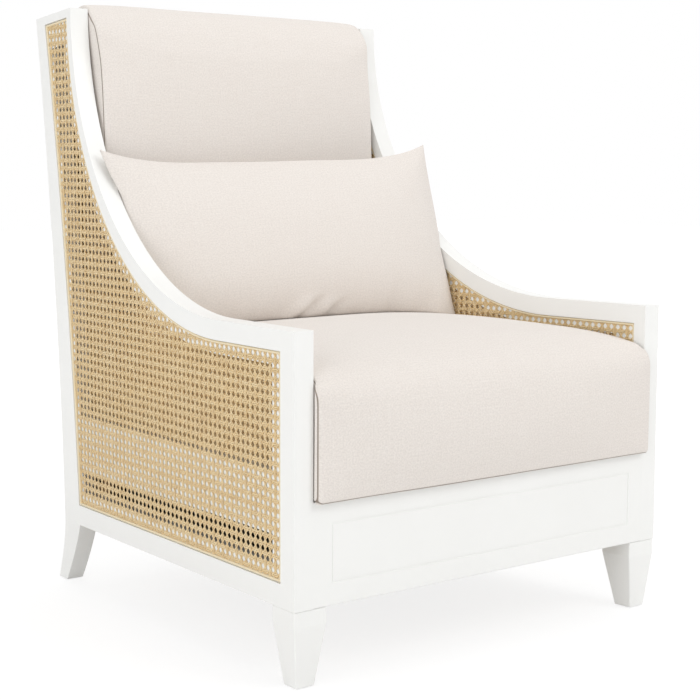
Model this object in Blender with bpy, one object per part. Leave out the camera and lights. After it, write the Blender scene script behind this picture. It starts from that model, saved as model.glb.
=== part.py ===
# Club chair: white lacquered show-wood frame with double-caned sides that sweep
# up into wings, an upholstered boxed back, a loose seat cushion and a lumbar pillow.
# Metres, +Z up, the front faces -Y, the origin is under the middle of the chair.
# Side pieces are drawn once, as (t, y, z): t inwards from the outer face of the side,
# y back from the front of the posts, z up from the floor.

import math

import bmesh
import bpy
from mathutils import Matrix, Vector
from mathutils.bvhtree import BVHTree

# Fits
GAP = 0.0003  # clearance between pieces that touch
SOFT_GAP = 0.0006  # the same where one cushion rests on another
SMALL = 1e-5  # lengths below this count as none

# Overall sizes
CHAIR_WIDTH = 0.720  # across the outer faces of the front posts
SIDE_TOE = math.radians(3.85)  # each side turns in towards the back
SIDE_THICKNESS = 0.032
BACK_HEIGHT = 0.954  # floor to the top of the wing
BACK_TOP_DROP = 0.0095  # fall of the side's top edge, wing to rear post
ARM_HEIGHT = 0.4875
LEG_HEIGHT = 0.111  # floor to the underside of the rails

# Side frame, faces that show beside the cane
POST_FACE = 0.034
RAIL_FACE = 0.0325
ARM_FACE = 0.029
WING_FACE = 0.0145
TOP_FACE = 0.0135
ARM_STRAIGHT = 0.200  # level stretch of the arm before it sweeps up
WING_FRONT = 0.657  # front edge of the wing at its top
SWEEP_STEPS = 22
EASE = 0.0016  # rounding of the edges that show
SHARP_ANGLE = math.radians(32)

# Side frame, ledges under the edge of the cane
POST_LEDGE = 0.0255
RAIL_LEDGE = 0.021
ARM_LEDGE = 0.020
REAR_LEDGE = 0.012
TOP_LEDGE = 0.052

# Rear post and its sabre leg
REAR_POST_BACK = 0.7053  # back edge at the rail
REAR_POST_WIDTH = 0.056
REAR_POST_TOP_WIDTH = 0.031
BACK_LEAN = 0.083  # the top lies this far behind the base
BACK_BOW = 0.6  # 0 is a straight post, 1 leans only at the top
FOOT_KICK = 0.050
FOOT_KICK_CURVE = 1.3
FOOT_DEPTH = 0.030
FOOT_INSET = 0.011  # taper of the outer face down to the floor
POST_STEPS = 12
FOOT_STEPS = 6

# Cane and its spline
CANE_RECESS = 0.004
CANE_THICKNESS = 0.002
SPLINE_WIDTH = 0.004
SPLINE_HEIGHT = 0.003
CANE_PITCH = 0.048  # one gap here stands for a block of the half-inch mesh
CANE_STRAND = 0.011  # width of the net between two gaps
CANE_RIM = 0.006

# Rails
SEAT_SLOPE = math.radians(1.6)  # the seat falls to the back
SEAT_RAIL_TOP = 0.293  # at the front of the posts
SEAT_RAIL_SLOPE = math.radians(0.3)  # nearly level, unlike the deck it carries
SEAT_RAIL_HEIGHT = 0.0855
SEAT_RAIL_SETBACK = 0.0043  # behind the outer face, close up to the cane
SEAT_RAIL_LEDGE = 0.016
APRON_TOP = 0.2565
APRON_THICKNESS = 0.024
GROOVE_INSET = 0.031
GROOVE_WIDTH = 0.0025
GROOVE_DEPTH = 0.0010
REAR_RAIL_TOP = 0.186
REAR_RAIL_THICKNESS = 0.030
REAR_RAIL_SETBACK = 0.003
TENON_THICKNESS = 0.010
TENON_LENGTH = 0.016
TENON_SHOULDER = 0.008
CORNER_BLOCK_SIDE = 0.075
CORNER_BLOCK_LIFT = 0.007  # above the underside of the rails
CORNER_BLOCK_ROOM = 0.002  # below the deck rail

# Front legs, studs and glides
LEG_INSET = 0.0005
LEG_TOP = 0.055
LEG_FOOT_INSET = 0.0095
LEG_FOOT = 0.031
LEG_COLLAR = 0.023
STUD_RADIUS = 0.004
STUD_LENGTH = 0.056
GLIDE_RADIUS = 0.010
GLIDE_HEIGHT = 0.0012

# Seat deck
DECK_FRONT = 0.254  # top of the deck rails at the front of the posts
DECK_RAIL_THICKNESS = 0.024
DECK_RAIL_HEIGHT = 0.058
DECK_REAR = 0.624  # back of the rear deck rail
CLEAT_WIDTH = 0.022
CLEAT_HEIGHT = 0.040
STRAP_WIDTH = 0.050
STRAP_THICKNESS = 0.0018
STRAP_GRIP = 0.004  # strap end to the edge it is tacked near
LONG_STRAPS = 4
LONG_STRAP_ROOM = 0.051  # outer strap to the cleat at the back
CROSS_STRAPS = 4
CROSS_STRAP_FIRST = 0.125
CROSS_STRAP_SPACING = 0.120
CROSSING_FLAT = 0.006
DUST_COVER_THICKNESS = 0.001
DUST_COVER_INSET = 0.012

# Back frame and its upholstery
OUTSIDE_BACK = 0.005
BACK_FRAME_DEPTH = 0.045
STILE_WIDTH = 0.030
CREST_DROP = 0.024  # below the top of the wing
CREST_HEIGHT = 0.060
LOWER_BACK_RAIL = 0.275
LOWER_BACK_HEIGHT = 0.055
BACK_STRAPS = 3
BACK_STRAP_ROOM = 0.080  # outer strap to the stile
BACK_DEPTH = 0.139  # front of the pad to the back of the rear posts
PAD_BOTTOM = 0.264
PAD_RISE = 0.0095  # above the top of the wing
PAD_RADIUS = 0.024
PAD_CROWN = 0.024
PAD_CLEARANCE = 0.001

# Soft pieces
CROWDING = 1.5  # how far the cuts crowd towards the edges

# Seat cushion
SEAT_OVERHANG = 0.014  # in front of the posts
SEAT_TOP = 0.431  # at the edges
SEAT_RADIUS = 0.034
SEAT_CROWN = 0.030
SEAT_SIDE_CROWN = 0.55  # share of the crown that is left along the sides
SEAT_ROLL = 0.010  # the front edge rolls down
SEAT_ROLL_POWER = 6  # higher keeps the roll nearer the edge
SEAT_BULGE = 0.008
SEAT_DRAW_IN = 0.004
SEAT_CLEARANCE = 0.003

# Lumbar pillow
PILLOW_SIDE_ROOM = 0.0075  # lower corner to the side, measured at the back of the seat
PILLOW_SHIFT = 0.0035  # it stands a little to the right
PILLOW_SPREAD = 0.018  # each upper corner reaches out by this much more
PILLOW_HEIGHT = 0.300
PILLOW_THICKNESS = 0.135
PILLOW_SEAM = 0.004
PILLOW_FILL_ACROSS = (2.6, 0.75)  # powers of the fill's fall towards the short sides
PILLOW_FILL_UP = (2.2, 0.7)  # and towards the long sides
PILLOW_DRAW_IN = 0.020
PILLOW_LEAN = math.radians(16)
PILLOW_TURN = math.radians(-5.4)

HALF_WIDTH = CHAIR_WIDTH / 2
TOE = math.tan(SIDE_TOE)
SLOPE = math.tan(SEAT_SLOPE)
REAR_TOP = BACK_HEIGHT - BACK_TOP_DROP
LEG_BOTTOM = GLIDE_HEIGHT + GAP
POST_BACK = POST_FACE + POST_LEDGE
OPENING_RADII = (WING_FRONT - ARM_STRAIGHT + WING_FACE, BACK_HEIGHT - ARM_HEIGHT + ARM_FACE)
ARM_UNDERSIDE = BACK_HEIGHT - OPENING_RADII[1] - ARM_LEDGE
WEBBING_HEIGHT = 2 * (STRAP_THICKNESS + GAP)
REAR_RAIL_FRONT = REAR_POST_BACK - REAR_RAIL_THICKNESS
CREST_TOP = BACK_HEIGHT - CREST_DROP
PAD_TOP = BACK_HEIGHT + PAD_RISE
FRONT_DECK_BACK = APRON_THICKNESS + GAP + DECK_RAIL_THICKNESS
DECK_REAR_FRONT = DECK_REAR - DECK_RAIL_THICKNESS

# How a flat outline (u, v) and its thickness w lie in space
SIDE_VIEW = Matrix(((0, 0, 1, 0), (1, 0, 0, 0), (0, 1, 0, 0), (0, 0, 0, 1)))
FRONT_VIEW = Matrix(((1, 0, 0, 0), (0, 0, -1, 0), (0, 1, 0, 0), (0, 0, 0, 1)))
PLAN_VIEW = Matrix.Identity(4)

for old in list(bpy.data.objects):
    bpy.data.objects.remove(old, do_unlink=True)

parts = bpy.data.collections.new("club_chair")
bpy.context.scene.collection.children.link(parts)
origin = bpy.data.objects.new("chair_origin", None)
parts.objects.link(origin)


def make_material(name, colour, roughness, metallic=0.0):
    material = bpy.data.materials.new(name)
    material.use_nodes = True
    shader = material.node_tree.nodes["Principled BSDF"]
    shader.inputs["Base Color"].default_value = (*colour, 1.0)
    shader.inputs["Roughness"].default_value = roughness
    shader.inputs["Metallic"].default_value = metallic
    material.diffuse_color = (*colour, 1.0)
    return material


lacquer = make_material("white_lacquer", (0.90, 0.90, 0.89), 0.35)
cane = make_material("natural_cane", (0.73, 0.55, 0.30), 0.55)
linen = make_material("ivory_linen", (0.83, 0.77, 0.71), 0.9)
hardwood = make_material("frame_hardwood", (0.55, 0.40, 0.25), 0.6)
webbing = make_material("elastic_webbing", (0.16, 0.14, 0.12), 0.85)
steel = make_material("zinc_plated_steel", (0.62, 0.62, 0.60), 0.35, 1.0)
nylon = make_material("nylon_glide", (0.20, 0.20, 0.20), 0.5)
cambric = make_material("ecru_cambric", (0.55, 0.49, 0.41), 0.95)


def rear_edge(z):
    """Back edge of the rear post, from the kicked foot to the leaning top."""
    if z < LEG_HEIGHT:
        return REAR_POST_BACK + FOOT_KICK * (1 - z / LEG_HEIGHT) ** FOOT_KICK_CURVE
    share = (z - LEG_HEIGHT) / (REAR_TOP - LEG_HEIGHT)
    return REAR_POST_BACK + BACK_LEAN * share * (1 - BACK_BOW + BACK_BOW * share)


def front_edge(z):
    """Front edge of the rear post's face, where the cane starts."""
    if z < LEG_HEIGHT:
        return rear_edge(z) - FOOT_DEPTH - (REAR_POST_WIDTH - FOOT_DEPTH) * z / LEG_HEIGHT
    share = (z - LEG_HEIGHT) / (REAR_TOP - LEG_HEIGHT)
    return rear_edge(z) - REAR_POST_WIDTH - (REAR_POST_TOP_WIDTH - REAR_POST_WIDTH) * share


def top_edge(y):
    """Top of the side, falling from the wing to the rear post."""
    return BACK_HEIGHT - BACK_TOP_DROP * (y - WING_FRONT) / (rear_edge(REAR_TOP) - WING_FRONT)


def seat_rail_top(y):
    return SEAT_RAIL_TOP - math.tan(SEAT_RAIL_SLOPE) * y


def rail_top(y):
    return LEG_HEIGHT + RAIL_FACE


def between(y):
    """Half the room between the inner faces of the two sides."""
    return HALF_WIDTH - TOE * y - SIDE_THICKNESS


def steps(low, high, count):
    return [low + (high - low) * i / count for i in range(count + 1)]


def sweep(grow, top):
    """The arm's underside grown by a distance, from the level stretch up to a top line."""
    radius_y, radius_z = (radius + grow for radius in OPENING_RADII)
    low, high = 0.0, math.pi / 2
    for _ in range(40):
        middle = (low + high) / 2
        y = ARM_STRAIGHT + radius_y * math.sin(middle)
        z = BACK_HEIGHT - radius_z * math.cos(middle)
        low, high = (middle, high) if z < top(y) else (low, middle)
    return [(ARM_STRAIGHT + radius_y * math.sin(a), BACK_HEIGHT - radius_z * math.cos(a))
            for a in steps(0.0, low, SWEEP_STEPS)]


def opening(inset, sill):
    """Outline of a caned opening drawn in by an inset, above a sill line."""
    foot = sill(POST_FACE) + inset
    corner = front_edge(foot) - inset
    foot_back = sill(corner) + inset
    head = top_edge(WING_FRONT + WING_FACE) - TOP_FACE - inset
    head_back = top_edge(front_edge(head)) - TOP_FACE - inset
    points = [(POST_FACE + inset, foot)]
    points += [(front_edge(z) - inset, z) for z in steps(foot_back, head_back, POST_STEPS)]
    points += reversed(sweep(inset, lambda y: top_edge(y) - TOP_FACE - inset))
    points.append((POST_FACE + inset, BACK_HEIGHT - OPENING_RADII[1] - inset))
    return points


def flat_solid(outlines, low, high, view):
    """A solid from a flat outline, with any further outlines as holes."""
    curve = bpy.data.curves.new("outline", "CURVE")
    curve.dimensions = "2D"
    curve.fill_mode = "BOTH"
    curve.extrude = (high - low) / 2
    for outline in outlines:
        spline = curve.splines.new("POLY")
        spline.points.add(len(outline) - 1)
        for point, (u, v) in zip(spline.points, outline):
            point.co = (u, v, 0.0, 1.0)
        spline.use_cyclic_u = True
    mesh = evaluated(bpy.data.objects.new("outline", curve))
    bpy.data.curves.remove(curve)
    weld(mesh)
    middle = (low + high) / 2
    mesh.transform(Matrix.Translation((0, 0, -middle if view is FRONT_VIEW else middle)))
    mesh.transform(view)
    return mesh


def evaluated(obj):
    """The finished mesh of a working object, which is then removed."""
    bpy.context.scene.collection.objects.link(obj)
    graph = bpy.context.evaluated_depsgraph_get()
    mesh = bpy.data.meshes.new_from_object(obj.evaluated_get(graph))
    bpy.data.objects.remove(obj, do_unlink=True)
    return mesh


def weld(mesh):
    shape = bmesh.new()
    shape.from_mesh(mesh)
    bmesh.ops.remove_doubles(shape, verts=shape.verts, dist=SMALL / 10)
    bmesh.ops.recalc_face_normals(shape, faces=shape.faces)
    shape.to_mesh(mesh)
    shape.free()


def box(low, high):
    shape = bmesh.new()
    size = Vector(high) - Vector(low)
    place = Matrix.Translation((Vector(low) + Vector(high)) / 2) @ Matrix.Diagonal((*size, 1.0))
    bmesh.ops.create_cube(shape, size=1.0, matrix=place)
    return finish(shape)


def finish(shape):
    mesh = bpy.data.meshes.new("solid")
    shape.to_mesh(mesh)
    shape.free()
    return mesh


def combine(mesh, tool, operation):
    """Cut a tool out of a solid, or join it on."""
    target = bpy.data.objects.new("target", mesh)
    cutter = bpy.data.objects.new("cutter", tool)
    bpy.context.scene.collection.objects.link(cutter)
    cutter.hide_render = True
    cutter.display_type = "WIRE"
    modifier = target.modifiers.new("boolean", "BOOLEAN")
    modifier.operation = operation
    modifier.solver = "EXACT"
    modifier.object = cutter
    result = evaluated(target)
    bpy.data.objects.remove(cutter, do_unlink=True)
    return result


def ease(mesh, chosen, width=EASE):
    """Round the sharp edges whose two ends are both chosen."""
    shape = bmesh.new()
    shape.from_mesh(mesh)
    edges = [edge for edge in shape.edges if edge.calc_face_angle(0.0) > SHARP_ANGLE
             and chosen(edge.verts[0].co, edge.verts[1].co)]
    bmesh.ops.bevel(shape, geom=edges, offset=width, segments=2, profile=0.5, affect="EDGES")
    shape.to_mesh(mesh)
    shape.free()
    return mesh


def reshape(mesh, rule):
    for vertex in mesh.vertices:
        vertex.co = rule(vertex.co)
    return mesh


def grid_block(cuts):
    """A cube from -1 to 1 with rings of cuts along each axis, closer near its edges."""
    shape = bmesh.new()
    bmesh.ops.create_cube(shape, size=2.0)
    for axis in range(3):
        along = [edge for edge in shape.edges
                 if abs((edge.verts[0].co - edge.verts[1].co)[axis]) > 1.0]
        if cuts[axis]:
            bmesh.ops.subdivide_edges(shape, edges=along, cuts=cuts[axis], use_grid_fill=True)
    for vertex in shape.verts:
        vertex.co = Vector([math.copysign(1 - (1 - abs(s)) ** CROWDING, s) for s in vertex.co])
    return finish(shape)


def rounded(point, half, radius):
    """A point of the unit block moved onto a block with rounded edges."""
    flat = Vector([p * h for p, h in zip(point, half)])
    core = Vector([max(-h + radius, min(h - radius, f)) for f, h in zip(flat, half)])
    return core + (flat - core).normalized() * radius


def side_matrix(side):
    """From side space to the left (-1) or right (1) of the chair."""
    return Matrix(((-side, -side * TOE, 0, side * HALF_WIDTH), (0, 1, 0, 0), (0, 0, 1, 0), (0, 0, 0, 1)))


def add_part(name, mesh, material, pivot=Vector((0, 0, 0))):
    mesh.name = name
    mesh.materials.clear()
    mesh.materials.append(material)
    mesh.transform(Matrix.Translation(-pivot))
    mesh.shade_smooth()
    mesh.set_sharp_from_angle(angle=SHARP_ANGLE)
    part = bpy.data.objects.new(name, mesh)
    part.location = pivot
    part.parent = origin
    parts.objects.link(part)
    return part


def to_side(mesh, side):
    placed = mesh.copy()
    placed.transform(side_matrix(side))
    if side > 0:
        placed.flip_normals()
    return placed


def add_pair(name, mesh, material):
    for side, word in ((-1, "left"), (1, "right")):
        add_part(f"{word}_{name}", to_side(mesh, side), material)


def across(outline, margin):
    """A rail across the chair, its ends following the sides at a margin."""
    mesh = flat_solid([outline], -1.0, 1.0, SIDE_VIEW)
    return reshape(mesh, lambda p: Vector((math.copysign(between(p.y) - margin, p.x), p.y, p.z)))


def on_deck(mesh):
    """Lay a piece that was drawn on a level deck on the sloping one."""
    return reshape(mesh, lambda p: Vector((p.x, p.y, p.z + DECK_FRONT - SLOPE * p.y)))


def tenon(name, grow):
    """The tongue on the end of a rail, or, grown by a clearance, its mortise."""
    half = TENON_THICKNESS / 2
    root = TENON_SHOULDER / 2
    rail_middle = SIDE_THICKNESS / 2
    seat_middle = (SEAT_RAIL_SETBACK + SIDE_THICKNESS) / 2
    low, high = LEG_HEIGHT + TENON_SHOULDER, LEG_HEIGHT + RAIL_FACE
    rear = front_edge(low) - REAR_LEDGE
    seat_front = seat_rail_top(POST_BACK) - TENON_SHOULDER
    seat_rear = seat_rail_top(rear) - TENON_SHOULDER
    seat_depth = SEAT_RAIL_HEIGHT - 2 * TENON_SHOULDER
    reach = TENON_LENGTH
    rail_back = front_edge(high) - REAR_LEDGE
    seat_back = front_edge(seat_rear - seat_depth) - REAR_LEDGE
    apron = APRON_THICKNESS / 2
    rear_middle = REAR_RAIL_FRONT + REAR_RAIL_THICKNESS / 2
    inner = SIDE_THICKNESS
    boxes = {
        "rail_front": ((rail_middle - half, POST_BACK - reach, low),
                       (rail_middle + half, POST_BACK + root, high)),
        "rail_rear": ((rail_middle - half, rear - root, low),
                      (rail_middle + half, rail_back + reach, high)),
        "seat_front": ((seat_middle - half, POST_BACK - reach, seat_front - seat_depth),
                       (seat_middle + half, POST_BACK + root, seat_front)),
        "seat_rear": ((seat_middle - half, seat_back - root, seat_rear - seat_depth),
                      (seat_middle + half, seat_back + reach, seat_rear)),
        "apron": ((inner - reach, apron - half, LEG_HEIGHT + TENON_SHOULDER),
                  (inner + root, apron + half, APRON_TOP - TENON_SHOULDER)),
        "rear": ((inner - reach, rear_middle - half, LEG_HEIGHT + TENON_SHOULDER),
                 (inner + root, rear_middle + half, REAR_RAIL_TOP - TENON_SHOULDER)),
    }
    low_corner, high_corner = boxes[name]
    margin = Vector((grow, grow, grow))
    return box(Vector(low_corner) - margin, Vector(high_corner) + margin)


def cane_recesses():
    """The two shallow beds that the cane panels lie in."""
    deep = CANE_RECESS
    outer = flat_solid([opening(0, rail_top)], -deep, deep, SIDE_VIEW)
    inner = flat_solid([opening(0, inner_sill)], SIDE_THICKNESS - deep, SIDE_THICKNESS + deep, SIDE_VIEW)
    return outer, inner


def inner_sill(y):
    return seat_rail_top(y) - SEAT_RAIL_LEDGE


def with_recesses(mesh):
    for cutter in cane_recesses():
        mesh = combine(mesh, cutter, "DIFFERENCE")
    return mesh


def same_t(a, b):
    return abs(a.x - b.x) < SMALL


def on_top_curve(p):
    """True on the upper face of the arm and wing and on the arm's front end."""
    if p.y < EASE / 10:
        return True
    if p.y <= ARM_STRAIGHT:
        return p.z > ARM_HEIGHT - EASE / 10
    across_sweep = (p.y - ARM_STRAIGHT) / (WING_FRONT - ARM_STRAIGHT)
    up_sweep = (BACK_HEIGHT - p.z) / (BACK_HEIGHT - ARM_HEIGHT)
    return math.hypot(across_sweep, up_sweep) < 1 + EASE / 10


def make_arm():
    upper = [(ARM_STRAIGHT + (WING_FRONT - ARM_STRAIGHT) * math.sin(a),
              BACK_HEIGHT - (BACK_HEIGHT - ARM_HEIGHT) * math.cos(a))
             for a in steps(0.0, math.pi / 2, SWEEP_STEPS)]
    lower = sweep(ARM_LEDGE, top_edge)
    outline = [(0.0, ARM_HEIGHT)] + upper + list(reversed(lower)) + [(0.0, ARM_UNDERSIDE)]
    mesh = flat_solid([outline], 0.0, SIDE_THICKNESS, SIDE_VIEW)
    mesh = ease(mesh, lambda a, b: on_top_curve(a) and on_top_curve(b) and same_t(a, b))
    return with_recesses(mesh)


def make_front_post():
    mesh = box((0.0, 0.0, LEG_HEIGHT), (SIDE_THICKNESS, POST_BACK, ARM_UNDERSIDE - GAP))
    mesh = ease(mesh, lambda a, b: max(a.x, a.y, b.x, b.y) < EASE / 10)
    mesh = with_recesses(mesh)
    for name in ("rail_front", "seat_front", "apron"):
        mesh = combine(mesh, tenon(name, GAP), "DIFFERENCE")
    return combine(mesh, stud(GAP), "DIFFERENCE")


def make_rear_post():
    """Back post and sabre leg in one piece, sawn from one plank."""
    foot_heights = steps(LEG_BOTTOM, LEG_HEIGHT, FOOT_STEPS)
    post_heights = steps(LEG_HEIGHT, REAR_TOP, POST_STEPS)
    ledge_top = top_edge(front_edge(REAR_TOP) - REAR_LEDGE)
    outline = [(rear_edge(z), z) for z in foot_heights[:-1] + post_heights]
    outline.append((front_edge(ledge_top) - REAR_LEDGE, ledge_top))
    outline += [(front_edge(z) - REAR_LEDGE, z) for z in reversed(post_heights[:-1])]
    outline += [(front_edge(z), z) for z in reversed(foot_heights)]
    mesh = flat_solid([outline], 0.0, SIDE_THICKNESS, SIDE_VIEW)
    mesh = reshape(mesh, taper_foot)
    mesh = ease(mesh, lambda a, b: back_of_post(a) and back_of_post(b) and abs(a.z - b.z) > EASE)
    mesh = with_recesses(mesh)
    for name in ("rail_rear", "seat_rear", "rear"):
        mesh = combine(mesh, tenon(name, GAP), "DIFFERENCE")
    return mesh


def taper_foot(p):
    """The leg's outer face draws in towards the floor and the leg narrows a little."""
    share = max(0.0, 1 - p.z / LEG_HEIGHT)
    thickness = SIDE_THICKNESS - (SIDE_THICKNESS - FOOT_DEPTH) * share
    return Vector((FOOT_INSET * share + p.x / SIDE_THICKNESS * thickness, p.y, p.z))


def back_of_post(p):
    return p.y > rear_edge(p.z) - EASE / 10 or p.z < LEG_HEIGHT - EASE


def make_top_rail():
    """The short rail that closes the side between the wing and the rear post."""
    low = top_edge(WING_FRONT + WING_FACE) - TOP_FACE - TOP_LEDGE
    wing = [point for point in sweep(ARM_LEDGE + GAP, top_edge) if point[1] > low]
    first = ARM_STRAIGHT + (OPENING_RADII[0] + ARM_LEDGE + GAP) * math.sqrt(
        1 - ((BACK_HEIGHT - low) / (OPENING_RADII[1] + ARM_LEDGE + GAP)) ** 2)
    back = [front_edge(z) - REAR_LEDGE - GAP for z in (low, REAR_TOP)]
    heights = [z for z in steps(LEG_HEIGHT, REAR_TOP, POST_STEPS) if low < z < top_edge(back[1])]
    outline = [(first, low), (back[0], low)]
    outline += [(front_edge(z) - REAR_LEDGE - GAP, z) for z in heights[:-1]]
    outline.append((back[1], top_edge(back[1])))
    outline += reversed(wing)
    return with_recesses(flat_solid([outline], 0.0, SIDE_THICKNESS, SIDE_VIEW))


def make_bottom_rail():
    start = POST_BACK + GAP
    heights = steps(LEG_HEIGHT, LEG_HEIGHT + RAIL_FACE + RAIL_LEDGE, 2)
    outline = [(start, heights[0])]
    outline += [(rear_ledge(z) - GAP, z) for z in heights]
    outline.append((start, heights[-1]))
    mesh = with_recesses(flat_solid([outline], 0.0, SIDE_THICKNESS, SIDE_VIEW))
    for name in ("rail_front", "rail_rear"):
        mesh = combine(mesh, tenon(name, 0.0), "UNION")
    return mesh


def rear_ledge(z):
    """The sawn front edge of the rear post, straight between its outline's points."""
    heights = steps(LEG_HEIGHT, REAR_TOP, POST_STEPS)
    below = max(h for h in heights[:-1] if h <= z)
    above = heights[heights.index(below) + 1]
    share = (z - below) / (above - below)
    return (1 - share) * front_edge(below) + share * front_edge(above) - REAR_LEDGE


def make_seat_rail():
    start = POST_BACK + GAP
    back_top = seat_rail_top(rear_ledge(SEAT_RAIL_TOP))
    heights = steps(back_top - SEAT_RAIL_HEIGHT, back_top, 3)
    outline = [(start, seat_rail_top(start) - SEAT_RAIL_HEIGHT)]
    outline += [(rear_ledge(z) - GAP, z) for z in heights]
    outline.append((start, seat_rail_top(start)))
    mesh = with_recesses(flat_solid([outline], SEAT_RAIL_SETBACK, SIDE_THICKNESS, SIDE_VIEW))
    for name in ("seat_front", "seat_rear"):
        mesh = combine(mesh, tenon(name, 0.0), "UNION")
    return mesh


def inside(point, outline):
    """True where a point lies inside a closed outline."""
    u, v = point
    crossed = False
    for (u1, v1), (u2, v2) in zip(outline, outline[1:] + outline[:1]):
        if (v1 > v) != (v2 > v) and u < (u2 - u1) * (v - v1) / (v2 - v1) + u1:
            crossed = not crossed
    return crossed


def make_cane(sill, bed):
    """A cane sheet as a flat net: square gaps in rows, kept clear of its rim."""
    outline = opening(SPLINE_WIDTH + 2 * GAP, sill)
    border = opening(SPLINE_WIDTH + 2 * GAP + CANE_RIM, sill)
    half = (CANE_PITCH - CANE_STRAND) / 2
    corners = ((-half, -half), (half, -half), (half, half), (-half, half))
    gaps = []
    row = LEG_HEIGHT + RAIL_FACE + CANE_RIM + SPLINE_WIDTH + CANE_PITCH / 2
    while row < BACK_HEIGHT:
        column = POST_FACE + CANE_RIM + SPLINE_WIDTH + CANE_PITCH / 2
        while column < rear_edge(REAR_TOP):
            square = [(column + u, row + v) for u, v in corners]
            if all(inside(point, border) for point in square):
                gaps.append(square)
            column += CANE_PITCH
        row += CANE_PITCH
    return flat_solid([outline] + gaps, bed, bed + CANE_THICKNESS, SIDE_VIEW)


def make_spline(sill, bed):
    """The split-reed spline that holds the edge of the cane."""
    outer = opening(GAP, sill)
    inner = opening(GAP + SPLINE_WIDTH, sill)
    return flat_solid([outer, inner], bed, bed + SPLINE_HEIGHT, SIDE_VIEW)


def rod(radius, low, high, sides=20):
    shape = bmesh.new()
    place = Matrix.Translation((0, 0, (low + high) / 2))
    bmesh.ops.create_cone(shape, cap_ends=True, segments=sides, radius1=radius, radius2=radius,
                          depth=high - low, matrix=place)
    return finish(shape)


def stud(grow):
    """The hanger bolt of a front leg, or, grown by a clearance, its hole."""
    mesh = rod(STUD_RADIUS + grow, LEG_HEIGHT - STUD_LENGTH / 2 - grow, LEG_HEIGHT + STUD_LENGTH / 2 + grow)
    mesh.transform(Matrix.Translation((SIDE_THICKNESS / 2, LEG_INSET + LEG_TOP / 2 + STUD_RADIUS / 2, 0)))
    return mesh


def make_front_leg():
    """Square leg: a short straight collar, then a taper to the foot."""
    shape = bmesh.new()
    bmesh.ops.create_cube(shape, size=1.0)
    uprights = [edge for edge in shape.edges if abs(edge.verts[0].co.z - edge.verts[1].co.z) > 0.5]
    bmesh.ops.subdivide_edges(shape, edges=uprights, cuts=1, use_grid_fill=True)

    def taper(p):
        inset, width = (LEG_FOOT_INSET, LEG_FOOT) if p.z < -0.25 else (LEG_INSET, LEG_TOP)
        height = {-1: LEG_BOTTOM, 0: LEG_HEIGHT - LEG_COLLAR, 1: LEG_HEIGHT - GAP}[round(2 * p.z)]
        return Vector((inset + (p.x + 0.5) * width, inset + (p.y + 0.5) * width, height))

    mesh = reshape(finish(shape), taper)
    mesh = ease(mesh, lambda a, b: min(a.z, b.z) > LEG_BOTTOM or abs(a.z - b.z) > LEG_COLLAR)
    return combine(mesh, stud(GAP), "DIFFERENCE")


def make_glide(t, y):
    mesh = rod(GLIDE_RADIUS, 0.0, GLIDE_HEIGHT)
    mesh.transform(Matrix.Translation((t, y, 0)))
    return mesh


def make_apron():
    """Front rail between the posts, with a routed line round its face."""
    outline = [(0, LEG_HEIGHT), (APRON_THICKNESS, LEG_HEIGHT), (APRON_THICKNESS, APRON_TOP), (0, APRON_TOP)]
    mesh = across(outline, GAP)
    mesh = ease(mesh, lambda a, b: max(a.y, b.y) < EASE / 10 and abs(a.x - b.x) > EASE)
    line = []
    for inset in (GROOVE_INSET, GROOVE_INSET + GROOVE_WIDTH):
        end = between(0) - inset
        low, high = LEG_HEIGHT + inset, APRON_TOP - inset
        line.append([(-end, low), (end, low), (end, high), (-end, high)])
    mesh = combine(mesh, flat_solid(line, -GROOVE_DEPTH, GROOVE_DEPTH, FRONT_VIEW), "DIFFERENCE")
    for side in (-1, 1):
        mesh = combine(mesh, to_side(tenon("apron", 0.0), side), "UNION")
    return mesh


def make_rear_rail():
    heights = steps(LEG_HEIGHT, REAR_RAIL_TOP, 2)
    outline = [(REAR_RAIL_FRONT, z) for z in reversed(heights)]
    outline += [(rear_edge(z) - REAR_RAIL_SETBACK, z) for z in heights]
    mesh = across(outline, GAP)
    for side in (-1, 1):
        mesh = combine(mesh, to_side(tenon("rear", 0.0), side), "UNION")
    return mesh


def make_corner_block(y, direction):
    """A glued block across an inside corner, in side space."""
    near = SIDE_THICKNESS + GAP
    outline = [(near, y), (near + CORNER_BLOCK_SIDE, y), (near, y + direction * CORNER_BLOCK_SIDE)]
    low = LEG_HEIGHT + CORNER_BLOCK_LIFT
    high = DECK_FRONT - SLOPE * DECK_REAR - DECK_RAIL_HEIGHT - CORNER_BLOCK_ROOM
    return flat_solid([outline], low, high, PLAN_VIEW)


def strap_path(crossings, ends, first_is_over):
    """Side view of a woven strap: (distance, layer) points, over and under by turns."""
    flat = STRAP_WIDTH / 2 + CROSSING_FLAT
    path = [(ends[0], 0)]
    for number, place in enumerate(crossings):
        layer = (number + (1 if first_is_over else 0)) % 2
        path += [(place - flat, layer), (place + flat, layer)]
    path.append((ends[1], 0))
    return path


def strap_outline(path):
    lift = STRAP_THICKNESS + GAP
    low = [(place, GAP + layer * lift) for place, layer in path]
    high = [(place, z + STRAP_THICKNESS) for place, z in reversed(low)]
    return low + high


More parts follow.
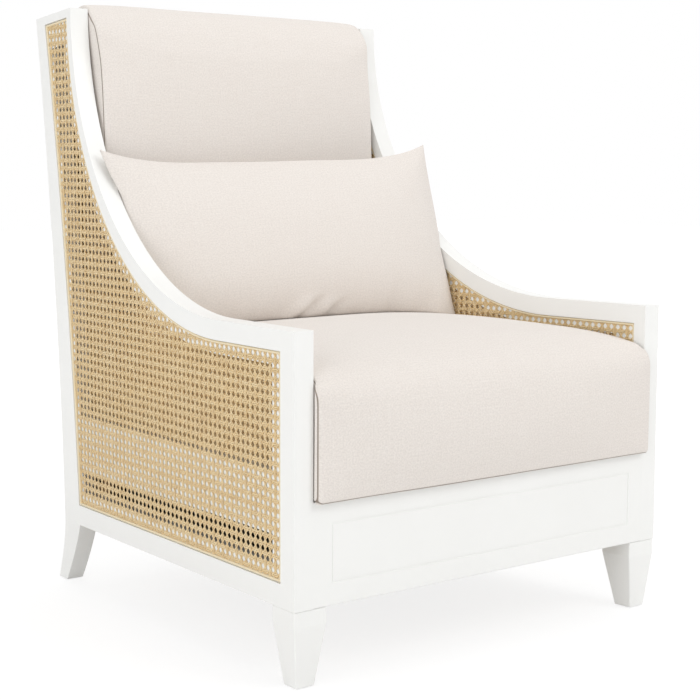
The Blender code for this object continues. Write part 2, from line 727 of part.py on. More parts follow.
def add_seat_webbing():
    outer = between(DECK_REAR) - CLEAT_WIDTH - LONG_STRAP_ROOM - STRAP_WIDTH / 2
    columns = steps(-outer, outer, LONG_STRAPS - 1)
    rows = [CROSS_STRAP_FIRST + number * CROSS_STRAP_SPACING for number in range(CROSS_STRAPS)]
    half = STRAP_WIDTH / 2
    start = APRON_THICKNESS + GAP + STRAP_GRIP
    for number, x in enumerate(columns):
        path = strap_path(rows, (start, DECK_REAR - STRAP_GRIP), number % 2 == 0)
        mesh = flat_solid([strap_outline(path)], x - half, x + half, SIDE_VIEW)
        add_part(f"seat_strap_{number + 1}", on_deck(mesh), webbing)
    for number, y in enumerate(rows):
        end = between(y + half) - STRAP_GRIP
        path = strap_path(columns, (-end, end), number % 2 == 1)
        mesh = flat_solid([strap_outline(path)], y - half, y + half, FRONT_VIEW)
        add_part(f"cross_strap_{number + 1}", on_deck(mesh), webbing)


def add_seat_deck():
    near = APRON_THICKNESS + GAP
    low = -DECK_RAIL_HEIGHT
    front = [(near, low), (FRONT_DECK_BACK, low), (FRONT_DECK_BACK, 0), (near, 0)]
    rear = [(DECK_REAR_FRONT, low), (DECK_REAR, low), (DECK_REAR, 0), (DECK_REAR_FRONT, 0)]
    add_part("front_deck_rail", on_deck(across(front, GAP)), hardwood)
    add_part("rear_deck_rail", on_deck(across(rear, GAP)), hardwood)
    inner = SIDE_THICKNESS + GAP
    cleat = box((inner, FRONT_DECK_BACK + GAP, -CLEAT_HEIGHT),
                (inner + CLEAT_WIDTH, DECK_REAR_FRONT - GAP, 0))
    add_pair("deck_cleat", on_deck(cleat), hardwood)


def make_dust_cover():
    """Cloth stapled under the rails, notched round the front legs."""
    front = DUST_COVER_INSET
    back = front_edge(LEG_HEIGHT) - DUST_COVER_INSET
    leg = LEG_INSET + LEG_TOP + DUST_COVER_INSET / 2
    notch = HALF_WIDTH - TOE * leg - leg
    edge = HALF_WIDTH - DUST_COVER_INSET
    half = [(notch, front), (notch, leg), (edge - TOE * leg, leg), (edge - TOE * back, back)]
    outline = half + [(-x, y) for x, y in reversed(half)]
    top = LEG_HEIGHT - GAP
    return flat_solid([outline], top - DUST_COVER_THICKNESS, top, PLAN_VIEW)


def frame_front(z):
    return rear_edge(z) - OUTSIDE_BACK - BACK_FRAME_DEPTH


def frame_back(z):
    return rear_edge(z) - OUTSIDE_BACK - 2 * GAP


def back_strip(near, far, low, high, count):
    """An upright strip of the back between two lines that follow the rear posts."""
    heights = steps(low, high, count)
    return [(near(z), z) for z in reversed(heights)] + [(far(z), z) for z in heights]


def add_back():
    bottom = REAR_RAIL_TOP + GAP
    inner = SIDE_THICKNESS + GAP
    stile = back_strip(frame_front, frame_back, bottom, CREST_TOP, POST_STEPS)
    add_pair("back_stile", flat_solid([stile], inner, inner + STILE_WIDTH, SIDE_VIEW), hardwood)
    margin = STILE_WIDTH + 2 * GAP
    for name, low, height in (("crest_rail", CREST_TOP - CREST_HEIGHT, CREST_HEIGHT),
                              ("lower_back_rail", LOWER_BACK_RAIL, LOWER_BACK_HEIGHT)):
        rail = back_strip(frame_front, frame_back, low, low + height, 1)
        add_part(name, across(rail, margin), hardwood)
    heights = (LOWER_BACK_RAIL + STRAP_GRIP, CREST_TOP - STRAP_GRIP)
    strap = back_strip(lambda z: frame_front(z) - GAP - STRAP_THICKNESS,
                       lambda z: frame_front(z) - GAP, *heights, POST_STEPS)
    half = STRAP_WIDTH / 2
    outer = between(REAR_POST_BACK) - STILE_WIDTH - BACK_STRAP_ROOM - half
    for number, x in enumerate(steps(-outer, outer, BACK_STRAPS - 1)):
        add_part(f"back_strap_{number + 1}", flat_solid([strap], x - half, x + half, SIDE_VIEW), webbing)
    panel = back_strip(lambda z: rear_edge(z) - OUTSIDE_BACK, lambda z: rear_edge(z) - GAP,
                       bottom, CREST_TOP, POST_STEPS)
    add_part("outside_back", across(panel, GAP), linen)


def pad_face(z):
    """The crowned front of the back pad, at the middle of its width."""
    c = 2 * (z - PAD_BOTTOM) / (PAD_TOP - PAD_BOTTOM) - 1
    return rear_edge(z) - GAP - BACK_DEPTH - PAD_CROWN * (1 - c * c)


def make_back_pad():
    """Front and top of the upholstered back, hollow behind for its frame."""
    height = PAD_TOP - PAD_BOTTOM
    half = Vector((between(REAR_POST_BACK), BACK_DEPTH / 2, height / 2))

    def shape(p):
        soft = rounded(p, half, PAD_RADIUS)
        a, b, c = (s / h for s, h in zip(soft, half))
        z = PAD_BOTTOM + height * (c + 1) / 2
        crown = PAD_CROWN * (1 - a * a) * (1 - c * c) * (1 - b) / 2
        y = rear_edge(z) - GAP - BACK_DEPTH * (1 - b) / 2 - crown
        return Vector((a * (between(y) - PAD_CLEARANCE), y, z))

    pad = reshape(grid_block((10, 4, 10)), shape)
    heights = steps(PAD_BOTTOM - PAD_RADIUS, CREST_TOP + GAP, POST_STEPS)
    hollow = [(frame_front(z) - STRAP_THICKNESS - 2 * GAP, z) for z in reversed(heights)]
    hollow += [(rear_edge(z) + OUTSIDE_BACK, z) for z in (heights[0], heights[-1])]
    return combine(pad, flat_solid([hollow], -HALF_WIDTH, HALF_WIDTH, SIDE_VIEW), "DIFFERENCE")


def seat_back():
    """The seat cushion stops a clearance in front of the pad."""
    return min(pad_face(z) for z in steps(PAD_BOTTOM, ARM_HEIGHT, POST_STEPS)) - SEAT_CLEARANCE


def make_seat_cushion():
    """Boxed cushion: crowned top, bulging front, sides drawn in between the corners."""
    length = seat_back() + SEAT_OVERHANG
    bottom = DECK_FRONT + WEBBING_HEIGHT + 2 * GAP
    half = Vector((between(0), length / 2, (SEAT_TOP - bottom) / 2))

    def shape(p):
        soft = rounded(p, half, SEAT_RADIUS)
        a, b, c = (s / h for s, h in zip(soft, half))
        up = (c + 1) / 2
        y = -SEAT_OVERHANG + length * (b + 1) / 2
        x = a * (between(max(y, 0.0)) - SEAT_CLEARANCE - SEAT_DRAW_IN * (1 - b * b))
        y -= SEAT_BULGE * (1 - a * a) * (1 - c * c) * (1 - b) / 2
        crown = SEAT_CROWN * (1 - b * b) * (1 - (1 - SEAT_SIDE_CROWN) * a * a)
        top = SEAT_TOP + crown - SEAT_ROLL * max(0.0, -b) ** SEAT_ROLL_POWER
        under = bottom - SLOPE * y
        return Vector((x, y, under + up * (top - under)))

    return reshape(grid_block((11, 11, 5)), shape)


def fall(s, powers):
    """From 1 in the middle down to 0 at either end."""
    return (1 - abs(s) ** powers[0]) ** powers[1]


def make_pillow():
    """Knife-edged pillow with pointed corners, standing in its own frame."""
    def shape(p):
        a, b = p.x, p.y
        reach = between(seat_back()) - PILLOW_SIDE_ROOM + PILLOW_SPREAD * (b + 1) / 2
        x = a * (reach - PILLOW_DRAW_IN * (1 - b * b))
        up = b * (PILLOW_HEIGHT / 2 - PILLOW_DRAW_IN * (1 - a * a))
        fill = fall(a, PILLOW_FILL_ACROSS) * fall(b, PILLOW_FILL_UP)
        return Vector((x, p.z * (PILLOW_SEAM + PILLOW_THICKNESS * fill) / 2, up))

    mesh = reshape(grid_block((15, 11, 0)), shape)
    weld(mesh)
    return mesh


def travel(mover, fixed, way):
    """How far one mesh can move along a way until it stands a clearance off another."""
    rooms = []
    for source, target, aim in ((mover, fixed, way), (fixed, mover, -way)):
        tree = BVHTree.FromPolygons([v.co for v in target.vertices], [p.vertices for p in target.polygons])
        points = [vertex.co for vertex in source.vertices]
        points += [(points[a] + points[b]) / 2 for a, b in source.edge_keys]
        hits = [tree.ray_cast(point, aim)[3] for point in points]
        rooms += [distance for distance in hits if distance is not None]
    return min(rooms) - SOFT_GAP


def add_cushions(pad):
    """The seat cushion on the webbing, and the pillow resting on it and on the back pad."""
    seat = make_seat_cushion()
    pillow = make_pillow()
    lean = Matrix.Rotation(PILLOW_TURN, 4, "Z") @ Matrix.Rotation(-PILLOW_LEAN, 4, "X")
    pillow.transform(Matrix.Translation((PILLOW_SHIFT, 0, BACK_HEIGHT)) @ lean)
    down = Vector((0, 0, -1))
    back = Vector((0, 1, 0))
    pillow.transform(Matrix.Translation(down * travel(pillow, seat, down)))
    for _ in range(3):
        pillow.transform(Matrix.Translation(back * travel(pillow, pad, back)))
        pillow.transform(Matrix.Translation((0, 0, SEAT_CROWN)))
        pillow.transform(Matrix.Translation(down * travel(pillow, seat, down)))
    add_part("seat_cushion", seat, linen, Vector((0, seat_back() / 2, DECK_FRONT)))
    add_part("lumbar_pillow", pillow, linen, Vector((0, seat_back(), ARM_HEIGHT)))


def add_sides():
    add_pair("arm", make_arm(), lacquer)
    add_pair("front_post", make_front_post(), lacquer)
    add_pair("rear_post", make_rear_post(), lacquer)
    add_pair("top_rail", make_top_rail(), lacquer)
    add_pair("bottom_rail", make_bottom_rail(), lacquer)
    add_pair("seat_rail", make_seat_rail(), lacquer)
    outer_bed = CANE_RECESS - GAP
    inner_bed = SIDE_THICKNESS - CANE_RECESS + GAP
    add_pair("outer_cane", make_cane(rail_top, outer_bed - CANE_THICKNESS), cane)
    add_pair("outer_spline", make_spline(rail_top, outer_bed - SPLINE_HEIGHT), cane)
    add_pair("inner_cane", make_cane(inner_sill, inner_bed), cane)
    add_pair("inner_spline", make_spline(inner_sill, inner_bed), cane)


def add_feet():
    add_pair("front_leg", make_front_leg(), lacquer)
    add_pair("leg_stud", stud(0.0), steel)
    middle = LEG_FOOT_INSET + LEG_FOOT / 2
    add_pair("front_glide", make_glide(middle, middle), nylon)
    foot_middle = (rear_edge(LEG_BOTTOM) + front_edge(LEG_BOTTOM)) / 2
    add_pair("rear_glide", make_glide(FOOT_INSET + FOOT_DEPTH / 2, foot_middle), nylon)


def add_cross_rails():
    add_part("front_rail", make_apron(), lacquer)
    add_part("rear_rail", make_rear_rail(), lacquer)
    add_pair("front_corner_block", make_corner_block(APRON_THICKNESS + GAP, 1), hardwood)
    add_pair("rear_corner_block", make_corner_block(REAR_RAIL_FRONT - GAP, -1), hardwood)
    add_part("dust_cover", make_dust_cover(), cambric)


def centre_on_origin():
    """Stand the chair with the middle of its length over the origin."""
    bpy.context.view_layer.update()
    depths = [(part.matrix_world @ vertex.co).y
              for part in parts.objects if part.type == "MESH" for vertex in part.data.vertices]
    origin.location.y -= (min(depths) + max(depths)) / 2
    bpy.context.view_layer.update()


add_sides()
add_feet()
add_cross_rails()
add_seat_deck()
add_seat_webbing()
add_back()
back_pad = make_back_pad()
add_cushions(back_pad)
add_part("back_pad", back_pad, linen)
centre_on_origin()
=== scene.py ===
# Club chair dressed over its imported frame: lacquered caned sides, linen seat, back and pillow.
# Metres, +Z up, the chair faces -Y. Side pieces are drawn as (t, y, z): t inwards from the
# outer face of the side, y back from the front of the posts, z up from the floor.

import math
import bmesh
import bpy
from mathutils import Matrix, Vector, noise
from mathutils.bvhtree import BVHTree


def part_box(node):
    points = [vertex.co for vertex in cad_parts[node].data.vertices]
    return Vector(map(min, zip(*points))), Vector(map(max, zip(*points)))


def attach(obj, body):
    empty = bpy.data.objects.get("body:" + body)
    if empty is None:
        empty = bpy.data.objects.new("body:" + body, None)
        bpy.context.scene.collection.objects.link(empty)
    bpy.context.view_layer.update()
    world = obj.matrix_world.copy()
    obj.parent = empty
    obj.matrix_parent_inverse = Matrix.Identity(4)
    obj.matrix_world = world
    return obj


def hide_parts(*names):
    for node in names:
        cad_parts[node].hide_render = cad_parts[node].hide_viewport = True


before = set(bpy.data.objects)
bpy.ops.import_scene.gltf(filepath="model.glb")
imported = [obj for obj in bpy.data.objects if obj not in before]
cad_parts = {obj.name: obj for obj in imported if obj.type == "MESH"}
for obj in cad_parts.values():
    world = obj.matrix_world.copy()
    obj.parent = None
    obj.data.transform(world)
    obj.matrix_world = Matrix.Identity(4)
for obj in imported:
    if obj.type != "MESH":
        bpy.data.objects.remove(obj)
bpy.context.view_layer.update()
scene = bpy.context.scene
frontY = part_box("left_front_post")[0].y  # world place of the posts' front face
tiny = 1e-6  # lengths below this count as none
sides = ((-1, "left"), (1, "right"))
print("frame loaded:", len(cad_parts), "nodes")

# main sizes of the chair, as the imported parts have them
chair = {
    "halfWidth": 0.360,
    "toe": math.tan(math.radians(3.85)),  # each side turns in towards the back
    "thickness": 0.032,
    "backHeight": 0.954,
    "topDrop": 0.0095,
    "armHeight": 0.4875,
    "legHeight": 0.111,
    "seatSlope": math.tan(math.radians(1.6)),
    "railSlope": math.tan(math.radians(0.3)),
}

# lacquered wood of a side
wood = {
    "postFace": 0.034,
    "innerForward": 0.0126,  # inside, the caned opening starts this much nearer the front
    "innerSill": 0.277,  # the inner cane ends here, on the seat rail
    "railFace": 0.0325,
    "armFace": 0.029,
    "wingFace": 0.0145,
    "topFace": 0.0135,
    "armStraight": 0.200,
    "wingFront": 0.657,
    "rearBack": 0.7053,
    "rearWidth": 0.056,
    "rearTopWidth": 0.031,
    "lean": 0.083,
    "bow": 0.6,
    "kick": 0.050,
    "kickCurve": 1.3,
    "footDepth": 0.030,
    "footInset": 0.011,
    "footBottom": 0.0015,  # on top of the glide
    "recess": 0.004,  # bed of the cane below each face
    "ease": 0.0018,
    "easeAngle": math.radians(32),  # edges sharper than this are eased
    "smoothAngle": math.radians(35),  # and those left sharper than this look sharp
    "apronTop": 0.2565,
    "ledge": {"front": 0.0255, "sill": 0.021, "rear": 0.012, "top": 0.040, "arm": 0.020},
    "bedOverlap": 0.003,  # the bed reaches this far into the frame
    "rebate": {"overlap": 0.0021, "floor": 0.0003, "overcut": 0.002},  # for the inner cane's front edge
    "sweepSteps": 56,
    "postSteps": 36,
    "footSteps": 14,
}
rearTop = chair["backHeight"] - chair["topDrop"]
armRadii = (wood["wingFront"] - wood["armStraight"], chair["backHeight"] - chair["armHeight"])
openingRadii = (armRadii[0] + wood["wingFace"], armRadii[1] + wood["armFace"])


def clamp(value, low, high):
    return max(low, min(high, value))


def steps(low, high, count):
    return [low + (high - low) * i / count for i in range(count + 1)]


def smoothStep(low, high, value):
    share = clamp((value - low) / (high - low), 0.0, 1.0)  # low may be above high
    return share * share * (3 - 2 * share)


def postShare(z):  # 0 where the rear post leaves the leg, 1 at its top
    return (z - chair["legHeight"]) / (rearTop - chair["legHeight"])


def rearEdge(z):  # back edge of the rear post and its sabre leg
    share = postShare(z)
    if share < 0:
        return wood["rearBack"] + wood["kick"] * (1 - z / chair["legHeight"]) ** wood["kickCurve"]
    return wood["rearBack"] + wood["lean"] * share * (1 - wood["bow"] + wood["bow"] * share)


def frontEdge(z):  # front edge of the rear post
    share = postShare(z)
    if share < 0:
        widening = (wood["rearWidth"] - wood["footDepth"]) * z / chair["legHeight"]
        return rearEdge(z) - wood["footDepth"] - widening
    return rearEdge(z) - wood["rearWidth"] - (wood["rearTopWidth"] - wood["rearWidth"]) * share


def topEdge(y):
    wing = wood["wingFront"]
    return chair["backHeight"] - chair["topDrop"] * (y - wing) / (rearEdge(rearTop) - wing)


def armPoint(radii, angle):  # the arm sweeps up in a quarter of an ellipse
    return wood["armStraight"] + radii[0] * math.sin(angle), chair["backHeight"] - radii[1] * math.cos(angle)


def armTop(y):  # upper face of the arm and wing
    across = clamp((y - wood["armStraight"]) / armRadii[0], 0.0, 1.0)
    return chair["backHeight"] - armRadii[1] * math.sqrt(1 - across * across)


def between(y):  # half the room between the inner faces of the sides
    return chair["halfWidth"] - chair["toe"] * y - chair["thickness"]


def sweep(grow, top):  # underside of the arm grown by a distance, up to a top line
    radii = [radius + grow for radius in openingRadii]
    low, high = 0.0, math.pi / 2
    for _ in range(40):
        middle = (low + high) / 2
        y, z = armPoint(radii, middle)
        low, high = (middle, high) if z < top(y) else (low, middle)
    return [armPoint(radii, angle) for angle in steps(0.0, low, wood["sweepSteps"])]


def railTop(y):
    return chair["legHeight"] + wood["railFace"]


def innerSill(y):
    return wood["innerSill"] - chair["railSlope"] * y


def openingRuns(sillLine, front, sill, rear, top, arm):
    # the five edges of a caned opening, each drawn in by its own distance
    foot = sillLine(wood["postFace"]) + sill
    footBack = sillLine(frontEdge(foot) - rear) + sill

    def head(y):
        return topEdge(y) - wood["topFace"] - top

    headBack = head(frontEdge(head(wood["wingFront"])))
    start = wood["postFace"] + front
    level = chair["backHeight"] - openingRadii[1] - arm
    upper = sweep(arm, head)[::-1]
    back = [(frontEdge(z) - rear, z) for z in steps(footBack, headBack, wood["postSteps"])]
    return ([(start, level), (start, foot)], [(start, foot), back[0]], back, [back[-1], upper[0]],
            upper + [(start, level)])


def evenRuns(sillLine, inset, forward=0.0):
    return openingRuns(sillLine, inset - forward, inset, inset, inset, inset)


def joinRuns(runs):
    return [point for run in runs for point in run[:-1]]


# small mesh helpers
def plainMesh(obj):  # the finished mesh of a working object, which is then removed
    if not obj.users_collection:
        scene.collection.objects.link(obj)
    graph = bpy.context.evaluated_depsgraph_get()
    mesh = bpy.data.meshes.new_from_object(obj.evaluated_get(graph))
    bpy.data.objects.remove(obj, do_unlink=True)
    return mesh


def modified(mesh, kind, **settings):  # what one modifier makes of a mesh
    obj = bpy.data.objects.new("work", mesh)
    modifier = obj.modifiers.new("work", kind)
    for name, value in settings.items():
        setattr(modifier, name, value)
    return plainMesh(obj)


def fromShape(shape, mesh):  # the mesh takes on a working shape, which is then freed
    shape.to_mesh(mesh)
    shape.free()
    return mesh


def openShape(mesh):
    shape = bmesh.new()
    shape.from_mesh(mesh)
    return shape


def flatSolid(outlines, low, high):  # an outline in (y, z) with holes, thick along t
    curve = bpy.data.curves.new("outline", "CURVE")
    curve.dimensions = "2D"
    curve.fill_mode = "BOTH"
    curve.extrude = (high - low) / 2
    for outline in outlines:
        spline = curve.splines.new("POLY")
        spline.points.add(len(outline) - 1)
        for point, (u, v) in zip(spline.points, outline):
            point.co = (u, v, 0.0, 1.0)
        spline.use_cyclic_u = True
    mesh = plainMesh(bpy.data.objects.new("outline", curve))
    bpy.data.curves.remove(curve)
    shape = openShape(mesh)
    bmesh.ops.remove_doubles(shape, verts=shape.verts, dist=tiny)
    bmesh.ops.recalc_face_normals(shape, faces=shape.faces)
    fromShape(shape, mesh)
    for vertex in mesh.vertices:
        u, v, w = vertex.co
        vertex.co = (w + (low + high) / 2, u, v)
    return mesh


def joinSolid(mesh, tool, operation):
    other = bpy.data.objects.new("tool", tool)
    scene.collection.objects.link(other)
    result = modified(mesh, "BOOLEAN", operation=operation, solver="EXACT", object=other)
    bpy.data.objects.remove(other, do_unlink=True)
    return result


def rectangle(left, low, right, high):
    return [(left, low), (right, low), (right, high), (left, high)]


def toSide(mesh, side):  # from side space to the left (-1) or right (1) of the chair
    mesh.transform(Matrix(((-side, -side * chair["toe"], 0, side * chair["halfWidth"]),
                           (0, 1, 0, frontY), (0, 0, 1, 0), (0, 0, 0, 1))))
    if side > 0:
        mesh.flip_normals()
    return mesh


def gridMesh(name, points, edges, faces):
    mesh = bpy.data.meshes.new(name)
    mesh.from_pydata(points, edges, faces)
    mesh.update()
    return mesh


def setAttribute(mesh, name, values):
    mesh.attributes.new(name, "FLOAT", "POINT").data.foreach_set("value", values)


def addPiece(name, mesh, body, slot, replaced, material=None):
    mesh.name = name
    mesh.materials.clear()
    mesh.materials.append(material or finish[slot])
    piece = bpy.data.objects.new(name, mesh)
    scene.collection.objects.link(piece)
    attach(piece, body)
    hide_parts(*replaced)
    return piece


# materials
def linear(code):  # sRGB hex to linear
    channels = [int(code[i:i + 2], 16) / 255 for i in (0, 2, 4)]
    return tuple(c / 12.92 if c <= 0.04045 else ((c + 0.055) / 1.055) ** 2.4 for c in channels) + (1.0,)


def feed(node, inputs):  # link or set the inputs of a node
    for key, value in inputs.items():
        if isinstance(value, bpy.types.NodeSocket):
            node.id_data.links.new(value, node.inputs[key])
        else:
            node.inputs[key].default_value = value


def addNode(tree, kind, inputs=None, output=None, **settings):  # gives the named output, or the first in use
    node = tree.nodes.new(kind)
    for name, value in settings.items():
        setattr(node, name, value)
    feed(node, inputs or {})
    if output:
        return node.outputs[output]
    return next((socket for socket in node.outputs if socket.enabled), None)


def newMaterial(name, surface):
    material = bpy.data.materials.new(name)
    material.use_nodes = True
    shader = material.node_tree.nodes["Principled BSDF"]
    feed(shader, surface)
    return material, material.node_tree, shader


def perMetre(millimetres):  # texture scale for a feature of that size
    return 1000.0 / millimetres


# finishes with two tones that follow one noise in space, and where they have a relief, its noise and bump
plainLooks = {
    # sprayed satin lacquer on hardwood: an even white with a soft gloss and a trace of orange peel
    "lacquer": {
        "name": "satinLacquer", "tones": ("F1F1EE", "F7F7F5"), "gloss": (0.30, 0.38),
        "surface": {"IOR": 1.5, "Coat Weight": 0.12, "Coat Roughness": 0.22},
        "mottle": {"Scale": perMetre(160), "Detail": 3.0, "Roughness": 0.55},
        "relief": {"Scale": perMetre(2.4), "Detail": 1.0}, "bump": {"Strength": 0.05, "Distance": 0.0004},
    },
    # sawn beech of the hidden frame: pinkish tan, with grain and a fine fleck along the plank
    "hardwood": {
        "name": "sawnBeech", "tones": ("B58A5E", "D2AE84"), "stretch": (0.12, 1.0, 1.0),
        "surface": {"Roughness": 0.62, "IOR": 1.5},
        "mottle": {"Scale": perMetre(9), "Detail": 5.0, "Distortion": 0.6},
        "relief": {"Scale": perMetre(1.6), "Detail": 1.0}, "bump": {"Strength": 0.15, "Distance": 0.0003},
    },
    # zinc-plated steel of the leg studs: dull bright metal with a faint blotch
    "steel": {
        "name": "zincSteel", "tones": ("A4A6A6", "C9CACA"), "surface": {"Roughness": 0.36, "Metallic": 1.0},
        "mottle": {"Scale": perMetre(6), "Detail": 2.0},
    },
    # moulded nylon of the glides: dark grey, with a fine spark-eroded grit in the colour and the surface
    "nylon": {
        "name": "mouldedNylon", "tones": ("3A3A3A", "4A4A4A"), "surface": {"Roughness": 0.5, "IOR": 1.53},
        "mottle": {"Scale": perMetre(0.8)}, "bump": {"Strength": 0.2, "Distance": 0.0002},
    },
    # unbleached spun cambric of the dust cover: matt felted fibres
    "cambric": {
        "name": "spunCambric", "tones": ("B5A998", "CBC0B0"), "surface": {"Roughness": 0.95, "IOR": 1.45},
        "mottle": {"Scale": perMetre(3.0), "Detail": 4.0, "Distortion": 1.5},
        "bump": {"Strength": 0.3, "Distance": 0.0004},
    },
}
finish = {}
for slot, look in plainLooks.items():
    finish[slot], tree, shader = newMaterial(look["name"], look["surface"])
    place = addNode(tree, "ShaderNodeTexCoord", output="Object")
    place = addNode(tree, "ShaderNodeMapping", {"Vector": place, "Scale": look.get("stretch", (1.0, 1.0, 1.0))})
    mottle = addNode(tree, "ShaderNodeTexNoise", {"Vector": place, **look["mottle"]})
    deep, light = (linear(code) for code in look["tones"])
    tint = addNode(tree, "ShaderNodeMix", {"Factor": mottle, "A": deep, "B": light}, data_type="RGBA")
    feed(shader, {"Base Color": tint})
    if "bump" in look:
        relief = addNode(tree, "ShaderNodeTexNoise", {"Vector": place, **look.get("relief", look["mottle"])})
        feed(shader, {"Normal": addNode(tree, "ShaderNodeBump", {"Height": relief, **look["bump"]})})
    if "gloss" in look:
        low, high = look["gloss"]
        gloss = addNode(tree, "ShaderNodeMapRange", {"Value": mottle, "To Min": low, "To Max": high})
        feed(shader, {"Roughness": gloss})

# split rattan skin: honey strands with a waxy skin, each a little different, darker fibre streaks
caneLook = {"pale": "F8E2B6", "honey": "EAC88E", "streak": "B38449", "streakLength": 34, "streakWidth": 0.5}
finish["cane"], tree, shader = newMaterial("rattanSkin", {"Roughness": 0.45, "IOR": 1.5})
tone, along = (addNode(tree, "ShaderNodeAttribute", output="Fac", attribute_name=name)
               for name in ("tone", "along"))
run = addNode(tree, "ShaderNodeCombineXYZ", {"X": along, "Y": tone})
run = addNode(tree, "ShaderNodeMapping", {"Vector": run, "Scale": (1.0, 40.0, 1.0)})
streaks = addNode(tree, "ShaderNodeTexNoise", {"Vector": run, "Scale": perMetre(caneLook["streakLength"]),
                                               "Detail": 3.0, "Roughness": 0.6})
dark = addNode(tree, "ShaderNodeMapRange", {"Value": streaks, "From Min": 0.52, "From Max": 0.78,
                                            "To Max": 0.55})
skin = addNode(tree, "ShaderNodeMix", {"Factor": tone, "A": linear(caneLook["honey"]),
                                       "B": linear(caneLook["pale"])}, data_type="RGBA")
skin = addNode(tree, "ShaderNodeMix", {"Factor": dark, "A": skin, "B": linear(caneLook["streak"])},
               data_type="RGBA")
place = addNode(tree, "ShaderNodeTexCoord", output="Object")
fibre = addNode(tree, "ShaderNodeTexNoise", {"Vector": place, "Scale": perMetre(caneLook["streakWidth"]),
                                             "Detail": 2.0})
bump = addNode(tree, "ShaderNodeBump", {"Height": fibre, "Strength": 0.12, "Distance": 0.0002})
feed(shader, {"Base Color": skin, "Normal": bump})

# peeled reed of the beads: paler and smoother than the skin, faint fibre along it
reedLook = {"pale": "F7EBCF", "deep": "E9D6AE", "fibre": 18}
peeledReed, tree, shader = newMaterial("peeledReed", {"Roughness": 0.5, "IOR": 1.5})
tone, along = (addNode(tree, "ShaderNodeAttribute", output="Fac", attribute_name=name)
               for name in ("tone", "along"))
run = addNode(tree, "ShaderNodeCombineXYZ", {"X": along, "Y": tone})
fibre = addNode(tree, "ShaderNodeTexNoise", {"Vector": run, "Scale": perMetre(reedLook["fibre"]),
                                             "Detail": 4.0})
reed = addNode(tree, "ShaderNodeMix", {"Factor": fibre, "A": linear(reedLook["deep"]),
                                       "B": linear(reedLook["pale"])}, data_type="RGBA")
feed(shader, {"Base Color": reed})

# plain-woven ivory linen: matt, slubby threads both ways with painted shade between them, a fine grain, painted
# shade as dark lines along the seams and a painted shadow line along the lower front edge of the cushions.
# Real threads lie 0.7 mm apart; they are drawn at 2.1 mm so that they show.
linenLook = {"thread": 2.1, "slubLength": 45, "slubWidth": 3.2, "grain": 2.6, "light": "EEE8E2",
             "deep": "E6DED7", "seam": "8F8379", "shadeLineWidth": 0.0005}
finish["linen"], tree, shader = newMaterial("ivoryLinen", {
    "Roughness": 0.92, "IOR": 1.45, "Sheen Weight": 0.18, "Sheen Roughness": 0.45, "Specular IOR Level": 0.25})
cloth = addNode(tree, "ShaderNodeUVMap", uv_map="weave")
cell = addNode(tree, "ShaderNodeVectorMath", {0: cloth, 3: math.pi * perMetre(linenLook["thread"])},
               operation="SCALE")
split = addNode(tree, "ShaderNodeSeparateXYZ", {"Vector": cell}).node.outputs
waves = [addNode(tree, "ShaderNodeMath", {0: split[axis]}, operation="SINE") for axis in "XY"]
over = addNode(tree, "ShaderNodeMath", {0: waves[0], 1: waves[1]}, operation="MULTIPLY")
over = addNode(tree, "ShaderNodeMapRange", {"Value": over, "From Min": -0.3, "From Max": 0.3})
warp, weft = (addNode(tree, "ShaderNodeMath", {0: wave}, operation="ABSOLUTE") for wave in waves)
threads = addNode(tree, "ShaderNodeMix", {"Factor": over, "A": warp, "B": weft}, data_type="FLOAT")
slubs = []
slubScale = (perMetre(linenLook["slubLength"]), perMetre(linenLook["slubWidth"]), 1000.0)
for stretch in (slubScale, (slubScale[1], slubScale[0], slubScale[2])):
    lay = addNode(tree, "ShaderNodeMapping", {"Vector": cloth, "Scale": stretch})
    slubs.append(addNode(tree, "ShaderNodeTexNoise", {"Vector": lay, "Scale": 1.0, "Detail": 2.0}))
slub = addNode(tree, "ShaderNodeMath", {0: slubs[0], 1: slubs[1]}, operation="ADD")
paler = addNode(tree, "ShaderNodeMapRange", {"Value": slub, "From Min": 0.20, "From Max": 1.80})
colour = addNode(tree, "ShaderNodeMix", {"Factor": paler, "A": linear(linenLook["deep"]),
                                         "B": linear(linenLook["light"])}, data_type="RGBA")
shadow = addNode(tree, "ShaderNodeMapRange", {"Value": threads, "From Min": 0.1, "From Max": 0.9,
                                              "To Min": 0.955, "To Max": 1.0})
grain = addNode(tree, "ShaderNodeTexNoise", {"Vector": cloth, "Scale": perMetre(linenLook["grain"]),
                                             "Detail": 2.0})
speckle = addNode(tree, "ShaderNodeMapRange", {"Value": grain, "From Min": 0.25, "From Max": 0.75,
                                               "To Min": 0.90, "To Max": 1.06})
shadow = addNode(tree, "ShaderNodeMath", {0: shadow, 1: speckle}, operation="MULTIPLY")
colour = addNode(tree, "ShaderNodeVectorMath", {0: colour, 3: shadow}, operation="SCALE")
# the seam colour is painted shade drawn as a dark line in the seams, and a painted contact shadow along the
# cushions' lower front edges
fromShadeLine = addNode(tree, "ShaderNodeAttribute", output="Fac", attribute_name="shadeLineDistance")
shadeLineMask = addNode(tree, "ShaderNodeMapRange", {"Value": fromShadeLine, "From Min": linenLook["shadeLineWidth"] * 0.5,
                                                "From Max": linenLook["shadeLineWidth"] * 1.5,
                                                "To Min": 1.0, "To Max": 0.0})
colour = addNode(tree, "ShaderNodeMix", {"Factor": shadeLineMask, "A": colour, "B": linear(linenLook["seam"])},
                 data_type="RGBA")
relief = addNode(tree, "ShaderNodeMath", {0: slub, 1: 0.25, 2: threads}, operation="MULTIPLY_ADD")
relief = addNode(tree, "ShaderNodeMath", {0: grain, 1: 0.9, 2: relief}, operation="MULTIPLY_ADD")
bump = addNode(tree, "ShaderNodeBump", {"Height": relief, "Strength": 0.22, "Distance": 0.0006})
feed(shader, {"Base Color": colour, "Normal": bump})

